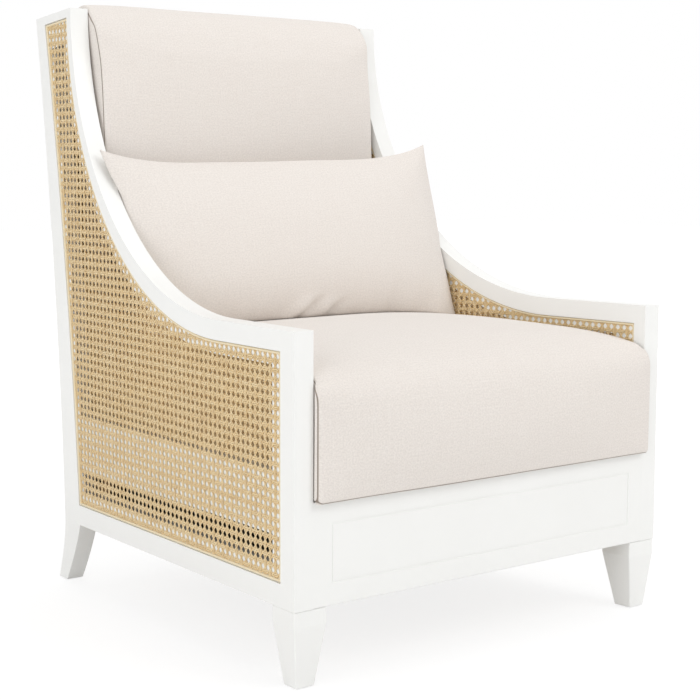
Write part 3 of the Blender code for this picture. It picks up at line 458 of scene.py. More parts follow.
# elastic webbing: dark brown woven rubber strap with ribs both ways
strapLook = {"dark": "3A2F28", "pale": "6B5A4C", "rib": 2.6}
finish["webbing"], tree, shader = newMaterial("elasticWebbing", {"Roughness": 0.85, "IOR": 1.45})
place = addNode(tree, "ShaderNodeTexCoord", output="Object")
cell = addNode(tree, "ShaderNodeVectorMath", {0: place, 3: 2 * math.pi * perMetre(strapLook["rib"])},
               operation="SCALE")
split = addNode(tree, "ShaderNodeSeparateXYZ", {"Vector": cell}).node.outputs
ribs = [addNode(tree, "ShaderNodeMath", {0: split[axis]}, operation="SINE") for axis in "XY"]
rib = addNode(tree, "ShaderNodeMath", {0: ribs[0], 1: ribs[1]}, operation="MULTIPLY")
mixed = addNode(tree, "ShaderNodeMapRange", {"Value": rib, "From Min": -0.6, "From Max": 0.8})
yarn = addNode(tree, "ShaderNodeMix", {"Factor": mixed, "A": linear(strapLook["dark"]),
                                       "B": linear(strapLook["pale"])}, data_type="RGBA")
bump = addNode(tree, "ShaderNodeBump", {"Height": rib, "Strength": 0.4, "Distance": 0.0005})
feed(shader, {"Base Color": yarn, "Normal": bump})
print("materials made")


# seamless lacquered side frames: arm, posts, rails and sabre leg in one flowing shape
def sideOutline():
    leg, foot = chair["legHeight"], wood["footBottom"]
    outline = [(0.0, leg), (0.0, wood["apronTop"]), (0.0, chair["armHeight"])]
    outline += [armPoint(armRadii, angle) for angle in steps(0.0, math.pi / 2, wood["sweepSteps"])]
    outline += [(rearEdge(z), z) for z in steps(rearTop, leg, wood["postSteps"])[:-1]]
    outline += [(rearEdge(z), z) for z in steps(leg, foot, wood["footSteps"])]
    return outline + [(frontEdge(z), z) for z in steps(foot, leg, wood["footSteps"])]


def taperFoot(p):
    share = max(0.0, 1 - p.z / chair["legHeight"])
    thick = chair["thickness"]
    foot = thick - (thick - wood["footDepth"]) * share
    return Vector((wood["footInset"] * share + p.x / thick * foot, p.y, p.z))


def makeSideFrame(side):
    thick, recess = chair["thickness"], wood["recess"]
    hole = joinRuns(evenRuns(railTop, 0.0))
    onHole = {(round(y, 4), round(z, 4)) for y, z in hole}
    mesh = flatSolid([sideOutline(), hole], 0.0, thick)
    for vertex in mesh.vertices:
        vertex.co = taperFoot(vertex.co)
    shape = openShape(mesh)
    eased = []
    for edge in shape.edges:
        if edge.calc_face_angle(0.0) < wood["easeAngle"]:
            continue
        a, b = (vertex.co for vertex in edge.verts)
        behindApron = (min(a.x, b.x) > thick / 2 and max(a.y, b.y) < 10 * tiny
                       and max(a.z, b.z) < wood["apronTop"] + 10 * tiny)
        inHoleCorner = abs(a.x - b.x) > thick / 2 and (round(a.y, 4), round(a.z, 4)) in onHole
        if not behindApron and not inHoleCorner:
            eased.append(edge)
    bmesh.ops.bevel(shape, geom=eased, offset=wood["ease"], segments=3, profile=0.5, affect="EDGES",
                    clamp_overlap=True)
    fromShape(shape, mesh)
    bed = flatSolid([joinRuns(evenRuns(railTop, -wood["bedOverlap"])),
                     joinRuns(openingRuns(railTop, **wood["ledge"]))], recess, thick - recess)
    cut = wood["rebate"]
    front = wood["postFace"] - wood["innerForward"]
    rebate = flatSolid([rectangle(front, innerSill(front), wood["postFace"] + cut["overlap"],
                                  chair["armHeight"] - wood["armFace"])],
                       thick - recess + cut["floor"], thick + cut["overcut"])
    mesh = joinSolid(joinSolid(mesh, rebate, "DIFFERENCE"), bed, "UNION")
    toSide(mesh, side)
    mesh.shade_smooth()
    mesh.set_sharp_from_angle(angle=wood["smoothAngle"])
    return modified(mesh, "WEIGHTED_NORMAL", keep_sharp=True)


for side, word in sides:
    nodes = [f"{word}_{kind}" for kind in ("arm", "front_post", "rear_post", "top_rail", "bottom_rail")]
    addPiece(f"{word}SideFrame", makeSideFrame(side), "chair_frame", "lacquer", nodes)
print("side frames made")

# front apron let into the posts so that the lacquer runs over the joints, with a fine routed line
apron = {"thick": 0.024, "front": 0.00005, "grip": 0.004, "ease": 0.0016, "lineInset": 0.031,
         "lineWidth": 0.0024, "lineDepth": 0.0008, "overcut": 0.002}


def makeApron():
    end = between(0.0) + apron["grip"]
    low, high = chair["legHeight"], wood["apronTop"]
    mesh = flatSolid([rectangle(-end, low, end, high)], apron["front"], apron["thick"])
    shape = openShape(mesh)
    bmesh.ops.dissolve_limit(shape, angle_limit=0.01, verts=shape.verts, edges=shape.edges)
    eased = [edge for edge in shape.edges
             if max(v.co.x for v in edge.verts) < apron["ease"]
             and abs(edge.verts[0].co.y - edge.verts[1].co.y) > end]
    bmesh.ops.bevel(shape, geom=eased, offset=apron["ease"], segments=3, profile=0.5, affect="EDGES")
    fromShape(shape, mesh)
    line = []
    for inset in (apron["lineInset"], apron["lineInset"] + apron["lineWidth"]):
        reach = between(0.0) - inset
        line.append(rectangle(-reach, low + inset, reach, high - inset))
    mesh = joinSolid(mesh, flatSolid(line, -apron["overcut"], apron["lineDepth"]), "DIFFERENCE")
    for vertex in mesh.vertices:
        depth, x, z = vertex.co
        vertex.co = (x, depth + frontY, z)
    mesh.flip_normals()
    mesh.shade_flat()
    return mesh


addPiece("frontApron", makeApron(), "chair_frame", "lacquer", ["front_rail"])
print("apron made")


# trees that sweep a profile along lines, for strands, straps and beads; each point has a lift of its own
def lineTree(name, drawProfile):
    tree = bpy.data.node_groups.new(name, "GeometryNodeTree")
    kinds = {"Lines": "NodeSocketGeometry", "Width": "NodeSocketFloat", "Height": "NodeSocketFloat",
             "Lift": "NodeSocketFloat", "Finish": "NodeSocketMaterial"}
    sockets = {title: tree.interface.new_socket(name=title, in_out="INPUT", socket_type=kind).identifier
               for title, kind in kinds.items()}
    tree.interface.new_socket(name="Strips", in_out="OUTPUT", socket_type="NodeSocketGeometry")
    given = addNode(tree, "NodeGroupInput").node.outputs
    curves = addNode(tree, "GeometryNodeMeshToCurve", {"Mesh": given["Lines"]})
    lift = addNode(tree, "GeometryNodeInputNamedAttribute", {"Name": "lift"}, data_type="FLOAT")
    lift = addNode(tree, "ShaderNodeMath", {0: lift, 1: given["Lift"]}, operation="MULTIPLY")
    offset = addNode(tree, "ShaderNodeCombineXYZ", {"Z": lift})
    curves = addNode(tree, "GeometryNodeSetPosition", {"Geometry": curves, "Offset": offset})
    curves = addNode(tree, "GeometryNodeSetCurveNormal", {"Curve": curves}, mode="Z_UP")
    length = addNode(tree, "GeometryNodeSplineParameter", output="Length")
    curves = addNode(tree, "GeometryNodeStoreNamedAttribute",
                     {"Geometry": curves, "Name": "along", "Value": length}, data_type="FLOAT", domain="POINT")
    profile = drawProfile(tree, given["Width"], given["Height"])
    body = addNode(tree, "GeometryNodeCurveToMesh",
                   {"Curve": curves, "Profile Curve": profile, "Fill Caps": True})
    body = addNode(tree, "GeometryNodeRealizeInstances", {"Geometry": body})
    body = addNode(tree, "GeometryNodeSetMaterial", {"Geometry": body, "Material": given["Finish"]})
    addNode(tree, "NodeGroupOutput", {"Strips": body})
    return tree, sockets


def flatProfile(tree, width, height):  # flat underneath, with sloping sides
    slopes = addNode(tree, "ShaderNodeMath", {0: height, 1: 1.2}, operation="MULTIPLY")
    upper = addNode(tree, "ShaderNodeMath", {0: width, 1: slopes}, operation="SUBTRACT")
    return addNode(tree, "GeometryNodeCurvePrimitiveQuadrilateral",
                   {"Height": height, "Bottom Width": width, "Top Width": upper, "Offset": 0.0},
                   mode="TRAPEZOID")


def roundProfile(tree, width, height):  # half an ellipse
    half = addNode(tree, "ShaderNodeMath", {0: width, 1: 0.5}, operation="MULTIPLY")
    arc = addNode(tree, "GeometryNodeCurveArc", {"Resolution": bead["arcPoints"], "Radius": half,
                                                 "Start Angle": math.pi, "Sweep Angle": math.pi}, mode="RADIUS")
    arc = addNode(tree, "GeometryNodeSetSplineCyclic", {"Geometry": arc, "Cyclic": True})
    steep = addNode(tree, "ShaderNodeMath", {0: height, 1: half}, operation="DIVIDE")
    tall = addNode(tree, "ShaderNodeCombineXYZ", {"X": 1.0, "Y": steep, "Z": 1.0})
    return addNode(tree, "GeometryNodeTransform", {"Geometry": arc, "Scale": tall})


def sweepLines(kind, lines, width, height, lift, material):
    # each line is a tone and a list of (x, y, z, lift) points
    points, edges, lifts, tones = [], [], [], []
    for tone, line in lines:
        edges += [(len(points) + i, len(points) + i + 1) for i in range(len(line) - 1)]
        points += [point[:3] for point in line]
        lifts += [point[3] for point in line]
        tones += [tone] * len(line)
    mesh = gridMesh("lines", points, edges, [])
    setAttribute(mesh, "lift", lifts)
    setAttribute(mesh, "tone", tones)
    obj = bpy.data.objects.new("lines", mesh)
    modifier = obj.modifiers.new("strips", "NODES")
    modifier.node_group, sockets = kind
    values = {"Width": width, "Height": height, "Lift": lift, "Finish": material}
    for title, value in values.items():
        modifier[sockets[title]] = value
    return plainMesh(obj)


# half-inch six-way cane: pairs of strands both ways and a strand along each diagonal
cane = {
    "pitch": 0.0127,
    "strand": 0.0022,
    "skin": 0.0004,
    "pairOffset": 0.00125,
    "lift": 0.00046,
    "gridLift": 0.6,  # the pairs rise this share of the lift
    "flat": 0.24,  # share of the pitch that a strand stays over the other pair
    "endRoom": 0.0006,  # no bend comes nearer to a strand's end
    "tuck": 0.0016,  # the edge runs this far in from the rebate, under the bead
    "sheetDepth": 0.0033,  # middle of the sheet below the face of the side
    # from the front and lower edge of each sheet to the middle of its first holes, as the sheets were cut
    "margin": {"leftOuter": (0.0094, 0.0129), "rightOuter": (0.0010, 0.0026),
               "leftInner": (0.0075, 0.0091), "rightInner": (0.0075, 0.0091)},
}

# half-round reed bead that keeps the cane's edge in its groove
bead = {"width": 0.0036, "height": 0.003, "bed": 0.0037, "groove": 0.0010, "overrun": 0.0003, "arcPoints": 9,
        "tones": (0.55, 0.08), "smoothAngle": math.radians(50)}
strips = lineTree("wovenStrands", flatProfile)
reedBead = lineTree("reedBead", roundProfile)


def clipLine(start, way, outline):
    # the stretches of a straight line that lie inside an outline, as distances along it
    crossings = []
    for (u1, v1), (u2, v2) in zip(outline, outline[1:] + outline[:1]):
        d1 = (u1 - start[0]) * way[1] - (v1 - start[1]) * way[0]
        d2 = (u2 - start[0]) * way[1] - (v2 - start[1]) * way[0]
        if (d1 > 0) != (d2 > 0):
            share = d1 / (d1 - d2)
            u, v = u1 + (u2 - u1) * share, v1 + (v2 - v1) * share
            crossings.append((u - start[0]) * way[0] + (v - start[1]) * way[1])
    crossings.sort()
    return list(zip(crossings[0::2], crossings[1::2]))


def overUnder(phase):  # 1 over a pair, -1 under the next, flat while it crosses
    turn = (phase - 0.5) % 2.0
    turn = min(turn, 2.0 - turn)
    return clamp(1 - 2 * (turn - cane["flat"]) / (1 - 2 * cane["flat"]), -1.0, 1.0)


def zigzag(phase):  # 1 where a diagonal crosses the upright pairs, -1 at the level ones
    turn = (phase - 0.5) % 1.0
    return 1 - 4 * min(turn, 1.0 - turn)


def strandTone(kind, number):
    return 0.5 + 0.5 * noise.noise(Vector((kind * 7.3, number * 1.71, 0.37)))


def caneLines(outline, margin):
    pitch, flat = cane["pitch"], cane["flat"]
    low = [min(values) for values in zip(*outline)]
    high = [max(values) for values in zip(*outline)]
    origin = [low[n] + margin[n] for n in (0, 1)]
    counts = [range(-1, math.ceil((high[n] - origin[n]) / pitch) + 1) for n in (0, 1)]
    lines = []

    def addStrand(tone, start, way, marks, height):
        for first, last in clipLine(start, way, outline):
            inside = [mark for mark in marks if first + cane["endRoom"] < mark < last - cane["endRoom"]]
            places = [(start[0] + way[0] * stop, start[1] + way[1] * stop)
                      for stop in [first] + inside + [last]]
            lines.append((tone, [(u, v, 0.0, height(u, v)) for u, v in places]))

    for strand in (-1, 1):
        for axis, other in ((0, 1), (1, 0)):  # upright strands, then level ones
            marks = [origin[other] + (n + 0.5 + s) * pitch for n in counts[other] for s in (-flat, flat)]
            for n in counts[axis]:
                place = origin[axis] + (n + 0.5) * pitch + strand * cane["pairOffset"]
                rise = cane["gridLift"] * (other - axis) * (-1) ** n
                addStrand(strandTone(strand + 5 * axis, n), (place * other, place * axis), (axis, other), marks,
                          lambda *at: rise * overUnder((at[other] - origin[other]) / pitch))
    half = math.sqrt(0.5)
    columns, rows = (len(count) for count in counts)
    for lean in (1, -1):
        for k in range(-rows - 2, columns + rows + 2):
            start = (origin[0] + (k + 0.5 * lean) * pitch, origin[1])
            marks = [(n * 0.5 * pitch - (start[0] - origin[0])) / half for n in range(-2, 2 * columns + 2)]
            addStrand(strandTone(lean + 11, k), start, (half, lean * half), marks,
                      lambda u, v: lean * zigzag((u - origin[0]) / pitch))
    return lines


def beadLines(sillLine, forward):
    lines = []
    for number, run in enumerate(evenRuns(sillLine, bead["width"] / 2 + bead["groove"], forward)):
        run = [Vector((u, v, 0.0)) for u, v in run]
        run[0] -= (run[1] - run[0]).normalized() * bead["overrun"]
        run[-1] += (run[-1] - run[-2]).normalized() * bead["overrun"]
        lines.append((bead["tones"][0] + bead["tones"][1] * (number % 3), [(*point, 0.0) for point in run]))
    return lines


def layFlat(mesh, depth, outward):
    # from the flat (u, v, up) drawing to side space, this deep below the outer or the inner face
    for vertex in mesh.vertices:
        u, v, up = vertex.co
        vertex.co = (depth - up if outward else chair["thickness"] - depth + up, u, v)
    if outward:
        mesh.flip_normals()


for face, sillLine, forward in (("outer", railTop, 0.0), ("inner", innerSill, wood["innerForward"])):
    outward = face == "outer"
    reed = sweepLines(reedBead, beadLines(sillLine, forward), bead["width"], bead["height"], 0.0, peeledReed)
    layFlat(reed, bead["bed"], outward)
    reed.shade_smooth()
    reed.set_sharp_from_angle(angle=bead["smoothAngle"])
    outline = joinRuns(evenRuns(sillLine, cane["tuck"], forward))
    for side, word in sides:
        name = word + face.title()
        sheet = sweepLines(strips, caneLines(outline, cane["margin"][name]), cane["strand"], cane["skin"],
                           cane["lift"], finish["cane"])
        layFlat(sheet, cane["sheetDepth"], outward)
        addPiece(f"{name}Cane", toSide(sheet, side), "chair_frame", "cane", [f"{word}_{face}_cane"])
        addPiece(f"{name}Bead", toSide(reed.copy(), side), "chair_frame", "cane", [f"{word}_{face}_spline"],
                 material=peeledReed)
    print(face, "cane woven")

# woven webbing of the deck and the back
webbing = {
    "width": 0.050,
    "thickness": 0.0018,
    "gap": 0.0003,
    "flat": 0.031,  # half the stretch that lies over or under a crossing strap
    "deckTop": 0.254,
    "rows": [0.125 + number * 0.120 for number in range(4)],
    "ends": (0.0283, 0.620),
    "columnEdge": between(0.624) - 0.098,  # the outer straps' middle, from the room at the rear deck rail
    "bendSteps": 6,
    "grip": 0.004,
    "back": {"low": 0.279, "high": 0.926, "front": 0.0509, "edge": between(wood["rearBack"]) - 0.135,
             "steps": 30},
}
deckColumns = steps(-webbing["columnEdge"], webbing["columnEdge"], 3)


def strapPoints(crossings, ends, firstOver):
    stops = [(ends[0], 0)]
    for number, place in enumerate(crossings):
        layer = (number + firstOver) % 2
        stops += [(place - webbing["flat"], layer), (place + webbing["flat"], layer)]
    stops.append((ends[1], 0))
    points = []
    for (a, layerA), (b, layerB) in zip(stops, stops[1:]):
        for share in steps(0.0, 1.0, webbing["bendSteps"])[:-1]:
            points.append((a + (b - a) * share, layerA + (layerB - layerA) * smoothStep(0.0, 1.0, share)))
    return points + [stops[-1]]


def onDeck(x, y, layer):
    height = webbing["deckTop"] - chair["seatSlope"] * y + webbing["gap"] + webbing["thickness"] / 2
    return x, y + frontY, height, layer


lines = []
for number, x in enumerate(deckColumns):
    path = strapPoints(webbing["rows"], webbing["ends"], number % 2 == 0)
    lines.append((0.5, [onDeck(x, y, layer) for y, layer in path]))
for number, y in enumerate(webbing["rows"]):
    end = between(y + webbing["width"] / 2) - webbing["grip"]
    path = strapPoints(deckColumns, (-end, end), number % 2 == 1)
    lines.append((0.5, [onDeck(x, y, layer) for x, layer in path]))
straps = sweepLines(strips, lines, webbing["width"], webbing["thickness"],
                    webbing["thickness"] + webbing["gap"], finish["webbing"])
addPiece("deckWebbing", straps, "chair_frame", "webbing",
         [f"{kind}_strap_{n}" for kind in ("seat", "cross") for n in range(1, 5)])

upright = webbing["back"]
# its section with eased corners, in widths and thicknesses
strapRing = ((-0.5, -0.3), (-0.49, -0.5), (0.49, -0.5), (0.5, -0.3),
             (0.5, 0.3), (0.49, 0.5), (-0.49, 0.5), (-0.5, 0.3))
shape = bmesh.new()
for x in steps(-upright["edge"], upright["edge"], 2):
    rows = []
    for z in steps(upright["low"], upright["high"], upright["steps"]):
        y = rearEdge(z) - upright["front"] + frontY
        rows.append([shape.verts.new((x + a * webbing["width"], y + b * webbing["thickness"], z))
                     for a, b in strapRing])
    for lower, upper in zip(rows, rows[1:]):
        for i in range(len(strapRing)):
            shape.faces.new((lower[i - 1], lower[i], upper[i], upper[i - 1]))
    shape.faces.new(rows[0][::-1])
    shape.faces.new(rows[-1])
bmesh.ops.recalc_face_normals(shape, faces=shape.faces)
straps = fromShape(shape, bpy.data.meshes.new("backStraps"))
addPiece("backWebbing", straps, "chair_frame", "webbing", [f"back_strap_{n}" for n in range(1, 4)])
print("webbing made")

# upholstery: how its cloth swells, and what the pieces share
air = {"pressure": 4.0, "quality": 6, "mass": 0.3, "frames": 20}
firmCloth = {"tension": 30.0, "compression": 30.0, "shear": 10.0, "bending": 6.0}
boxed = {"edge": (0.0, 0.0018, 0.0048, 0.0085, 0.0125),  # closer grid lines beside a seam
         "pinned": 0.003,  # the side panels stay flat to this distance from their plane
         "lowShadowLine": 0.35}  # distances from the lower front edge count for this much, so the painted shadow line there is wider


def boxGrid(lines):
    # the closed surface of a box on given grid lines: points, faces and each face's axis
    last = [len(line) - 1 for line in lines]
    index, points, faces, axes = {}, [], [], []

    def corner(key):
        if key not in index:
            index[key] = len(points)
            points.append(tuple(lines[n][key[n]] for n in range(3)))
        return index[key]

    for axis in range(3):
        first, second = (axis + 1) % 3, (axis + 2) % 3
        for end in (0, last[axis]):
            for i in range(last[first]):
                for j in range(last[second]):
                    ring = []
                    for di, dj in ((0, 0), (1, 0), (1, 1), (0, 1)):
                        key = [0, 0, 0]
                        key[axis], key[first], key[second] = end, i + di, j + dj
                        ring.append(corner(tuple(key)))
                    faces.append(ring if end else ring[::-1])
                    axes.append(axis)
    return points, faces, axes


def gridLines(length, step, edge):  # even lines with closer ones at both ends
    inner = length - 2 * edge[-1]
    even = steps(edge[-1], edge[-1] + inner, max(2, round(inner / step)))
    return list(edge[:-1]) + even + [length - e for e in reversed(edge[:-1])]


def softBox(name, lines, origin, place, distance, weave):
    # a box surface that a rule bends, with its distance from the lines of painted shade and shadow at the seams
    # and edges, and cloth coordinates in metres
    points, faces, axes = boxGrid(lines)
    flat = [tuple(value - low for value, low in zip(point, origin)) for point in points]
    mesh = gridMesh(name, [place(*point) for point in flat], [], faces)
    setAttribute(mesh, "shadeLineDistance", [distance(*point) for point in flat])
    layer = mesh.uv_layers.new(name="weave")
    for polygon in mesh.polygons:
        for loop in polygon.loop_indices:
            layer.data[loop].uv = weave(axes[polygon.index], *flat[mesh.loops[loop].vertex_index])
    return mesh, flat


def puff(mesh, pinned, cap, softness):
    # cloth under inner pressure, its movement capped so the piece keeps its size
    before = [vertex.co.copy() for vertex in mesh.vertices]
    obj = bpy.data.objects.new("puff", mesh)
    scene.collection.objects.link(obj)
    group = obj.vertex_groups.new(name="pinned")
    group.add([i for i, pin in enumerate(pinned) if pin], 1.0, "REPLACE")
    modifier = obj.modifiers.new("puff", "CLOTH")
    cloth = modifier.settings
    cloth.quality = air["quality"]
    cloth.mass = air["mass"]
    for name, value in softness.items():
        setattr(cloth, f"{name}_stiffness", value)
    cloth.vertex_group_mass = "pinned"
    cloth.use_pressure = True
    cloth.uniform_pressure_force = air["pressure"]
    cloth.effector_weights.gravity = 0.0
    modifier.collision_settings.use_collision = False
    for number in range(1, air["frames"] + 1):
        scene.frame_set(number)
    swollen = obj.evaluated_get(bpy.context.evaluated_depsgraph_get()).data
    after = [vertex.co.copy() for vertex in swollen.vertices]
    bpy.data.objects.remove(obj, do_unlink=True)
    scene.frame_set(1)
    for vertex, old, new in zip(mesh.vertices, before, after):
        move = new - old
        vertex.co = old + move * (cap / max(cap, move.length))


def pushOut(mesh, moves):
    for vertex, move in zip(mesh.vertices, moves):
        vertex.co = vertex.co + move


def soften(mesh, amount, size, seed):  # slow unevenness of hand-filled upholstery
    pushOut(mesh, [vertex.normal * amount * noise.noise(vertex.co / size + Vector((seed, 0.0, 0.0)))
                   for vertex in mesh.vertices])


def boxedCushion(name, size, look, place):
    # size is (width, depth, height); place moves a box point to the chair; the seams run round both sides
    half = size[0] / 2

    def rim(y, z):
        return min(y, size[1] - y, z, size[2] - z)

    def distance(x, y, z):
        # distance to the seams, where a dark line of painted shade runs, or to the lower front edge, where a
        # painted contact shadow line runs
        return rim(y, z) if half - abs(x) < tiny else min(half - abs(x), boxed["lowShadowLine"] * (z + y))

    def weave(axis, x, y, z):
        if axis == 0:
            return y, z
        if axis == 1:
            return x, (z if y < size[1] / 2 else size[2] * 2 + size[1] - z)
        return x, (size[2] + y if z > size[2] / 2 else -y)

    lines = [gridLines(length, look["step"], boxed["edge"]) for length in size]
    mesh, flat = softBox(name, lines, (half, 0.0, 0.0), place, distance, weave)
    for vertex, (x, y, z) in zip(mesh.vertices, flat):
        if half - abs(x) < tiny and rim(y, z) < tiny:
            vertex.co = vertex.co - vertex.normal * look["seamInset"]
    pinned = [half - abs(x) < boxed["pinned"] or z < tiny or y > size[1] - look["pinnedBack"]
              for x, y, z in flat]
    puff(mesh, pinned, look["cap"], firmCloth)
    soften(mesh, *look["soften"])
    return mesh


def roundRect(p, q, halfP, halfQ, radius):
    # a point of a flat rectangle moved into one with a rounded corner
    coreP = clamp(p, radius - halfP, halfP - radius)
    coreQ = clamp(q, radius - halfQ, halfQ - radius)
    outP, outQ = p - coreP, q - coreQ
    if abs(outP) < tiny or abs(outQ) < tiny:
        return p, q
    reach = max(abs(outP), abs(outQ)) / math.hypot(outP, outQ)
    return coreP + outP * reach, coreQ + outQ * reach


def edgeInset(x, half, radius):  # how far a rounded side edge draws in the outline
    over = max(0.0, abs(x) - (half - radius))
    return radius - math.sqrt(max(0.0, radius ** 2 - over * over))


def addSoft(name, mesh, body, node):
    mesh = modified(mesh, "SUBSURF", levels=1, render_levels=1)
    mesh.shade_smooth()
    addPiece(name, mesh, body, "linen", [node])
    return mesh


# loose seat cushion: waterfall front in one panel with the top, seams round the side panels
seat = {
    "overhang": 0.014,
    "back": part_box("seat_cushion")[1].y - frontY,
    "top": 0.431,
    "bottom": 0.2588,
    "crown": 0.030,
    "sideCrown": 0.55,
    "roll": 0.010,
    "rollPower": 6,
    "bulge": 0.010,
    "clearance": 0.0028,
    "drawIn": 0.0035,
    "frontRadius": (0.027, 0.038),  # at the sides and in the middle
    "proud": 0.0058,  # how far it spreads over the posts in front of them
    "aheadSpan": (0.0012, -0.0045),  # from behind the posts' face to in front of it
    "spreadSpan": (-0.0006, -0.004),
    "drawStart": -0.004,
    "frontDraw": (0.0045, 0.0008),  # how much its left and right sides draw in towards the front seam
    "droop": 0.005,  # how far its front hangs below the deck
    "backRadius": 0.024,
    "lowRadius": 0.007,
    "edgeRadius": 0.005,
    "step": 0.0085,
    "seamInset": 0.0008,
    "pinnedBack": 0.01,
    "cap": 0.006,
    "soften": (0.0012, 0.14, 3.1),  # amount, size and seed
    "sideGap": 0.0018,  # the least that is left beside the sides
    "spare": 0.002,  # and how much more than it spreads it may swell in front of the posts
}
seatSize = (2 * (between(0.0) - seat["clearance"]), seat["back"] + seat["overhang"],
            seat["top"] - seat["bottom"])


def placeSeat(x, y, z):
    half = [s / 2 for s in seatSize]
    inset = edgeInset(x, half[0], seat["edgeRadius"])
    p, q = y - half[1], z - half[2]
    ends, middle = seat["frontRadius"]
    if q <= 0:
        radius = seat["lowRadius"]
    else:
        radius = middle + (ends - middle) * (x / half[0]) ** 2 if p < 0 else seat["backRadius"]
    p, q = roundRect(p, q, half[1], half[2], radius)
    p *= (half[1] - inset) / half[1]
    q *= (half[2] - inset) / half[2]
    a, b, c = x / half[0], p / half[1], q / half[2]
    depth = -seat["overhang"] + p + half[1]
    ahead = smoothStep(*seat["aheadSpan"], depth)  # 1 in front of the posts
    wide = between(max(depth, 0.0)) - seat["clearance"] - seat["drawIn"] * (1 - b * b) + seat["proud"] * ahead
    wide -= seat["frontDraw"][0 if a < 0 else 1] * smoothStep(seat["drawStart"], -seat["overhang"], depth)
    depth -= seat["bulge"] * (1 - a * a) * (1 - c * c) * (1 - b) / 2
    crown = seat["crown"] * (1 - b * b) * (1 - (1 - seat["sideCrown"]) * a * a)
    top = seat["top"] + crown - seat["roll"] * max(0.0, -b) ** seat["rollPower"]
    under = seat["bottom"] - chair["seatSlope"] * depth - seat["droop"] * ahead
    return a * wide, depth + frontY, under + (c + 1) / 2 * (top - under)


seatMesh = boxedCushion("seatCushion", seatSize, seat, placeSeat)
for vertex in seatMesh.vertices:
    depth = vertex.co.y - frontY
    room = between(max(depth, 0.0)) - seat["sideGap"]
    room += (seat["proud"] + seat["spare"]) * smoothStep(*seat["spreadSpan"], depth)
    vertex.co.x = clamp(vertex.co.x, -room, room)
    vertex.co.y = min(vertex.co.y, seat["back"] + frontY)
seatMesh = addSoft("seatCushion", seatMesh, "seat_cushion", "seat_cushion")
print("seat cushion made")

# upholstered back: front and top in one panel, boxed sides, over the hidden frame
pad = {
    "low": 0.264,
    "high": 0.9745,
    "depth": 0.142,
    "widthAt": 0.64,
    "swell": {"extra": 0.012, "from": 0.68, "to": 0.86},  # the upper half is thicker
    "crown": 0.009,
    "roll": (0.044, 0.062),  # depth and height of the rounding from the front to the top
    "rearRadius": 0.010,
    "lowRadius": 0.006,
    "edgeRadius": 0.005,
    "cornerDrop": 0.003,
    "cornerPower": 10,
    "cornerSpan": (0.5, 1.0),
    "drawIn": 0.0065,  # its front is this much narrower on each side than its back
    "drawnBelow": (0.95, 0.86),
    "fall": 0.026,  # its top falls towards the back as the wings do
    "fallBack": (0.15, 0.75),
    "fallUp": (0.6, 1.0),
    "frameFront": 0.0526,
    "crestTop": 0.9306,
    "flapRise": 0.002,
    "flapSetback": 0.0006,  # the flap over the crest rail stops this far before the posts' back
    "clearance": 0.0012,
    "step": 0.0090,
    "seamInset": 0.0007,
    "pinnedBack": tiny,
    "cap": 0.005,
    "soften": (0.0012, 0.16, 8.4),
    "sideGap": 0.0008,
}
padHeight = pad["high"] - pad["low"]
padSize = (2 * (between(pad["widthAt"]) - pad["clearance"]), pad["depth"] - pad["frameFront"], padHeight)


def placePad(x, y, z):
    half = [s / 2 for s in padSize]
    inset = edgeInset(x, half[0], pad["edgeRadius"])
    p, q = y - half[1], z - half[2]
    rollDepth, rollHeight = pad["roll"]
    if q > 0 and p < 0:
        squeeze = rollDepth / rollHeight
        p, q = roundRect(p, q * squeeze, half[1], half[2] * squeeze, rollDepth)
        q /= squeeze
    else:
        p, q = roundRect(p, q, half[1], half[2], pad["rearRadius"] if q > 0 else pad["lowRadius"])
    p *= (half[1] - inset) / half[1]
    q -= inset * max(0.0, q / half[2])
    a, c = x / half[0], q / half[2]
    height = pad["low"] + padHeight * (c + 1) / 2
    toBack = (p / half[1] + 1) / 2
    height -= pad["cornerDrop"] * abs(a) ** pad["cornerPower"] * smoothStep(*pad["cornerSpan"], c)
    height -= pad["fall"] * smoothStep(*pad["fallBack"], toBack) * smoothStep(*pad["fallUp"], c)
    swell = pad["swell"]["extra"] * smoothStep(pad["swell"]["from"], pad["swell"]["to"], height)
    front = rearEdge(height) - pad["depth"] - swell - pad["crown"] * (1 - a * a) * (1 - c * c)
    flap = smoothStep(pad["crestTop"] - pad["flapRise"], pad["crestTop"], height)
    behind = rearEdge(height) - pad["frameFront"] + (pad["frameFront"] - pad["flapSetback"]) * flap
    depth = front + toBack * (behind - front)
    drawn = pad["drawIn"] * (1 - toBack) * smoothStep(*pad["drawnBelow"], height)
    return a * (between(depth) - pad["clearance"] - drawn), depth + frontY, height


padMesh = boxedCushion("backPad", padSize, pad, placePad)
for vertex in padMesh.vertices:
    room = between(vertex.co.y - frontY) - pad["sideGap"]
    vertex.co.x = clamp(vertex.co.x, -room, room)
padMesh = addSoft("backPad", padMesh, "chair_frame", "back_pad")
print("back pad made")

# outside back: linen drawn over board between the rear posts
outside = {"low": 0.1868, "high": 0.9292, "thick": 0.0048, "setback": 0.005, "crown": 0.0022, "edge": 0.0022,
           "edgeWidth": 0.006, "gap": 0.0006, "step": 0.012, "gridEdge": (0.0, 0.002, 0.005),
           "soften": (0.0006, 0.2, 1.7), "noSeam": 0.05}
outsideSize = (2 * (between(wood["rearBack"]) - outside["gap"]), outside["thick"],
               outside["high"] - outside["low"])


def placeOutside(x, y, z):
    a, b, c = 2 * x / outsideSize[0], y / outsideSize[1], 2 * z / outsideSize[2] - 1
    edge = min(outsideSize[0] / 2 - abs(x), z, outsideSize[2] - z)
    fall = outside["edge"] * (1 - smoothStep(0.0, outside["edgeWidth"], edge))
    height = outside["low"] + z
    depth = rearEdge(height) - outside["setback"] + b * (outside["thick"] - fall)
    depth += b * outside["crown"] * (1 - a ** 4) * (1 - c ** 4)
    return a * (between(depth) - outside["gap"]), depth + frontY, height


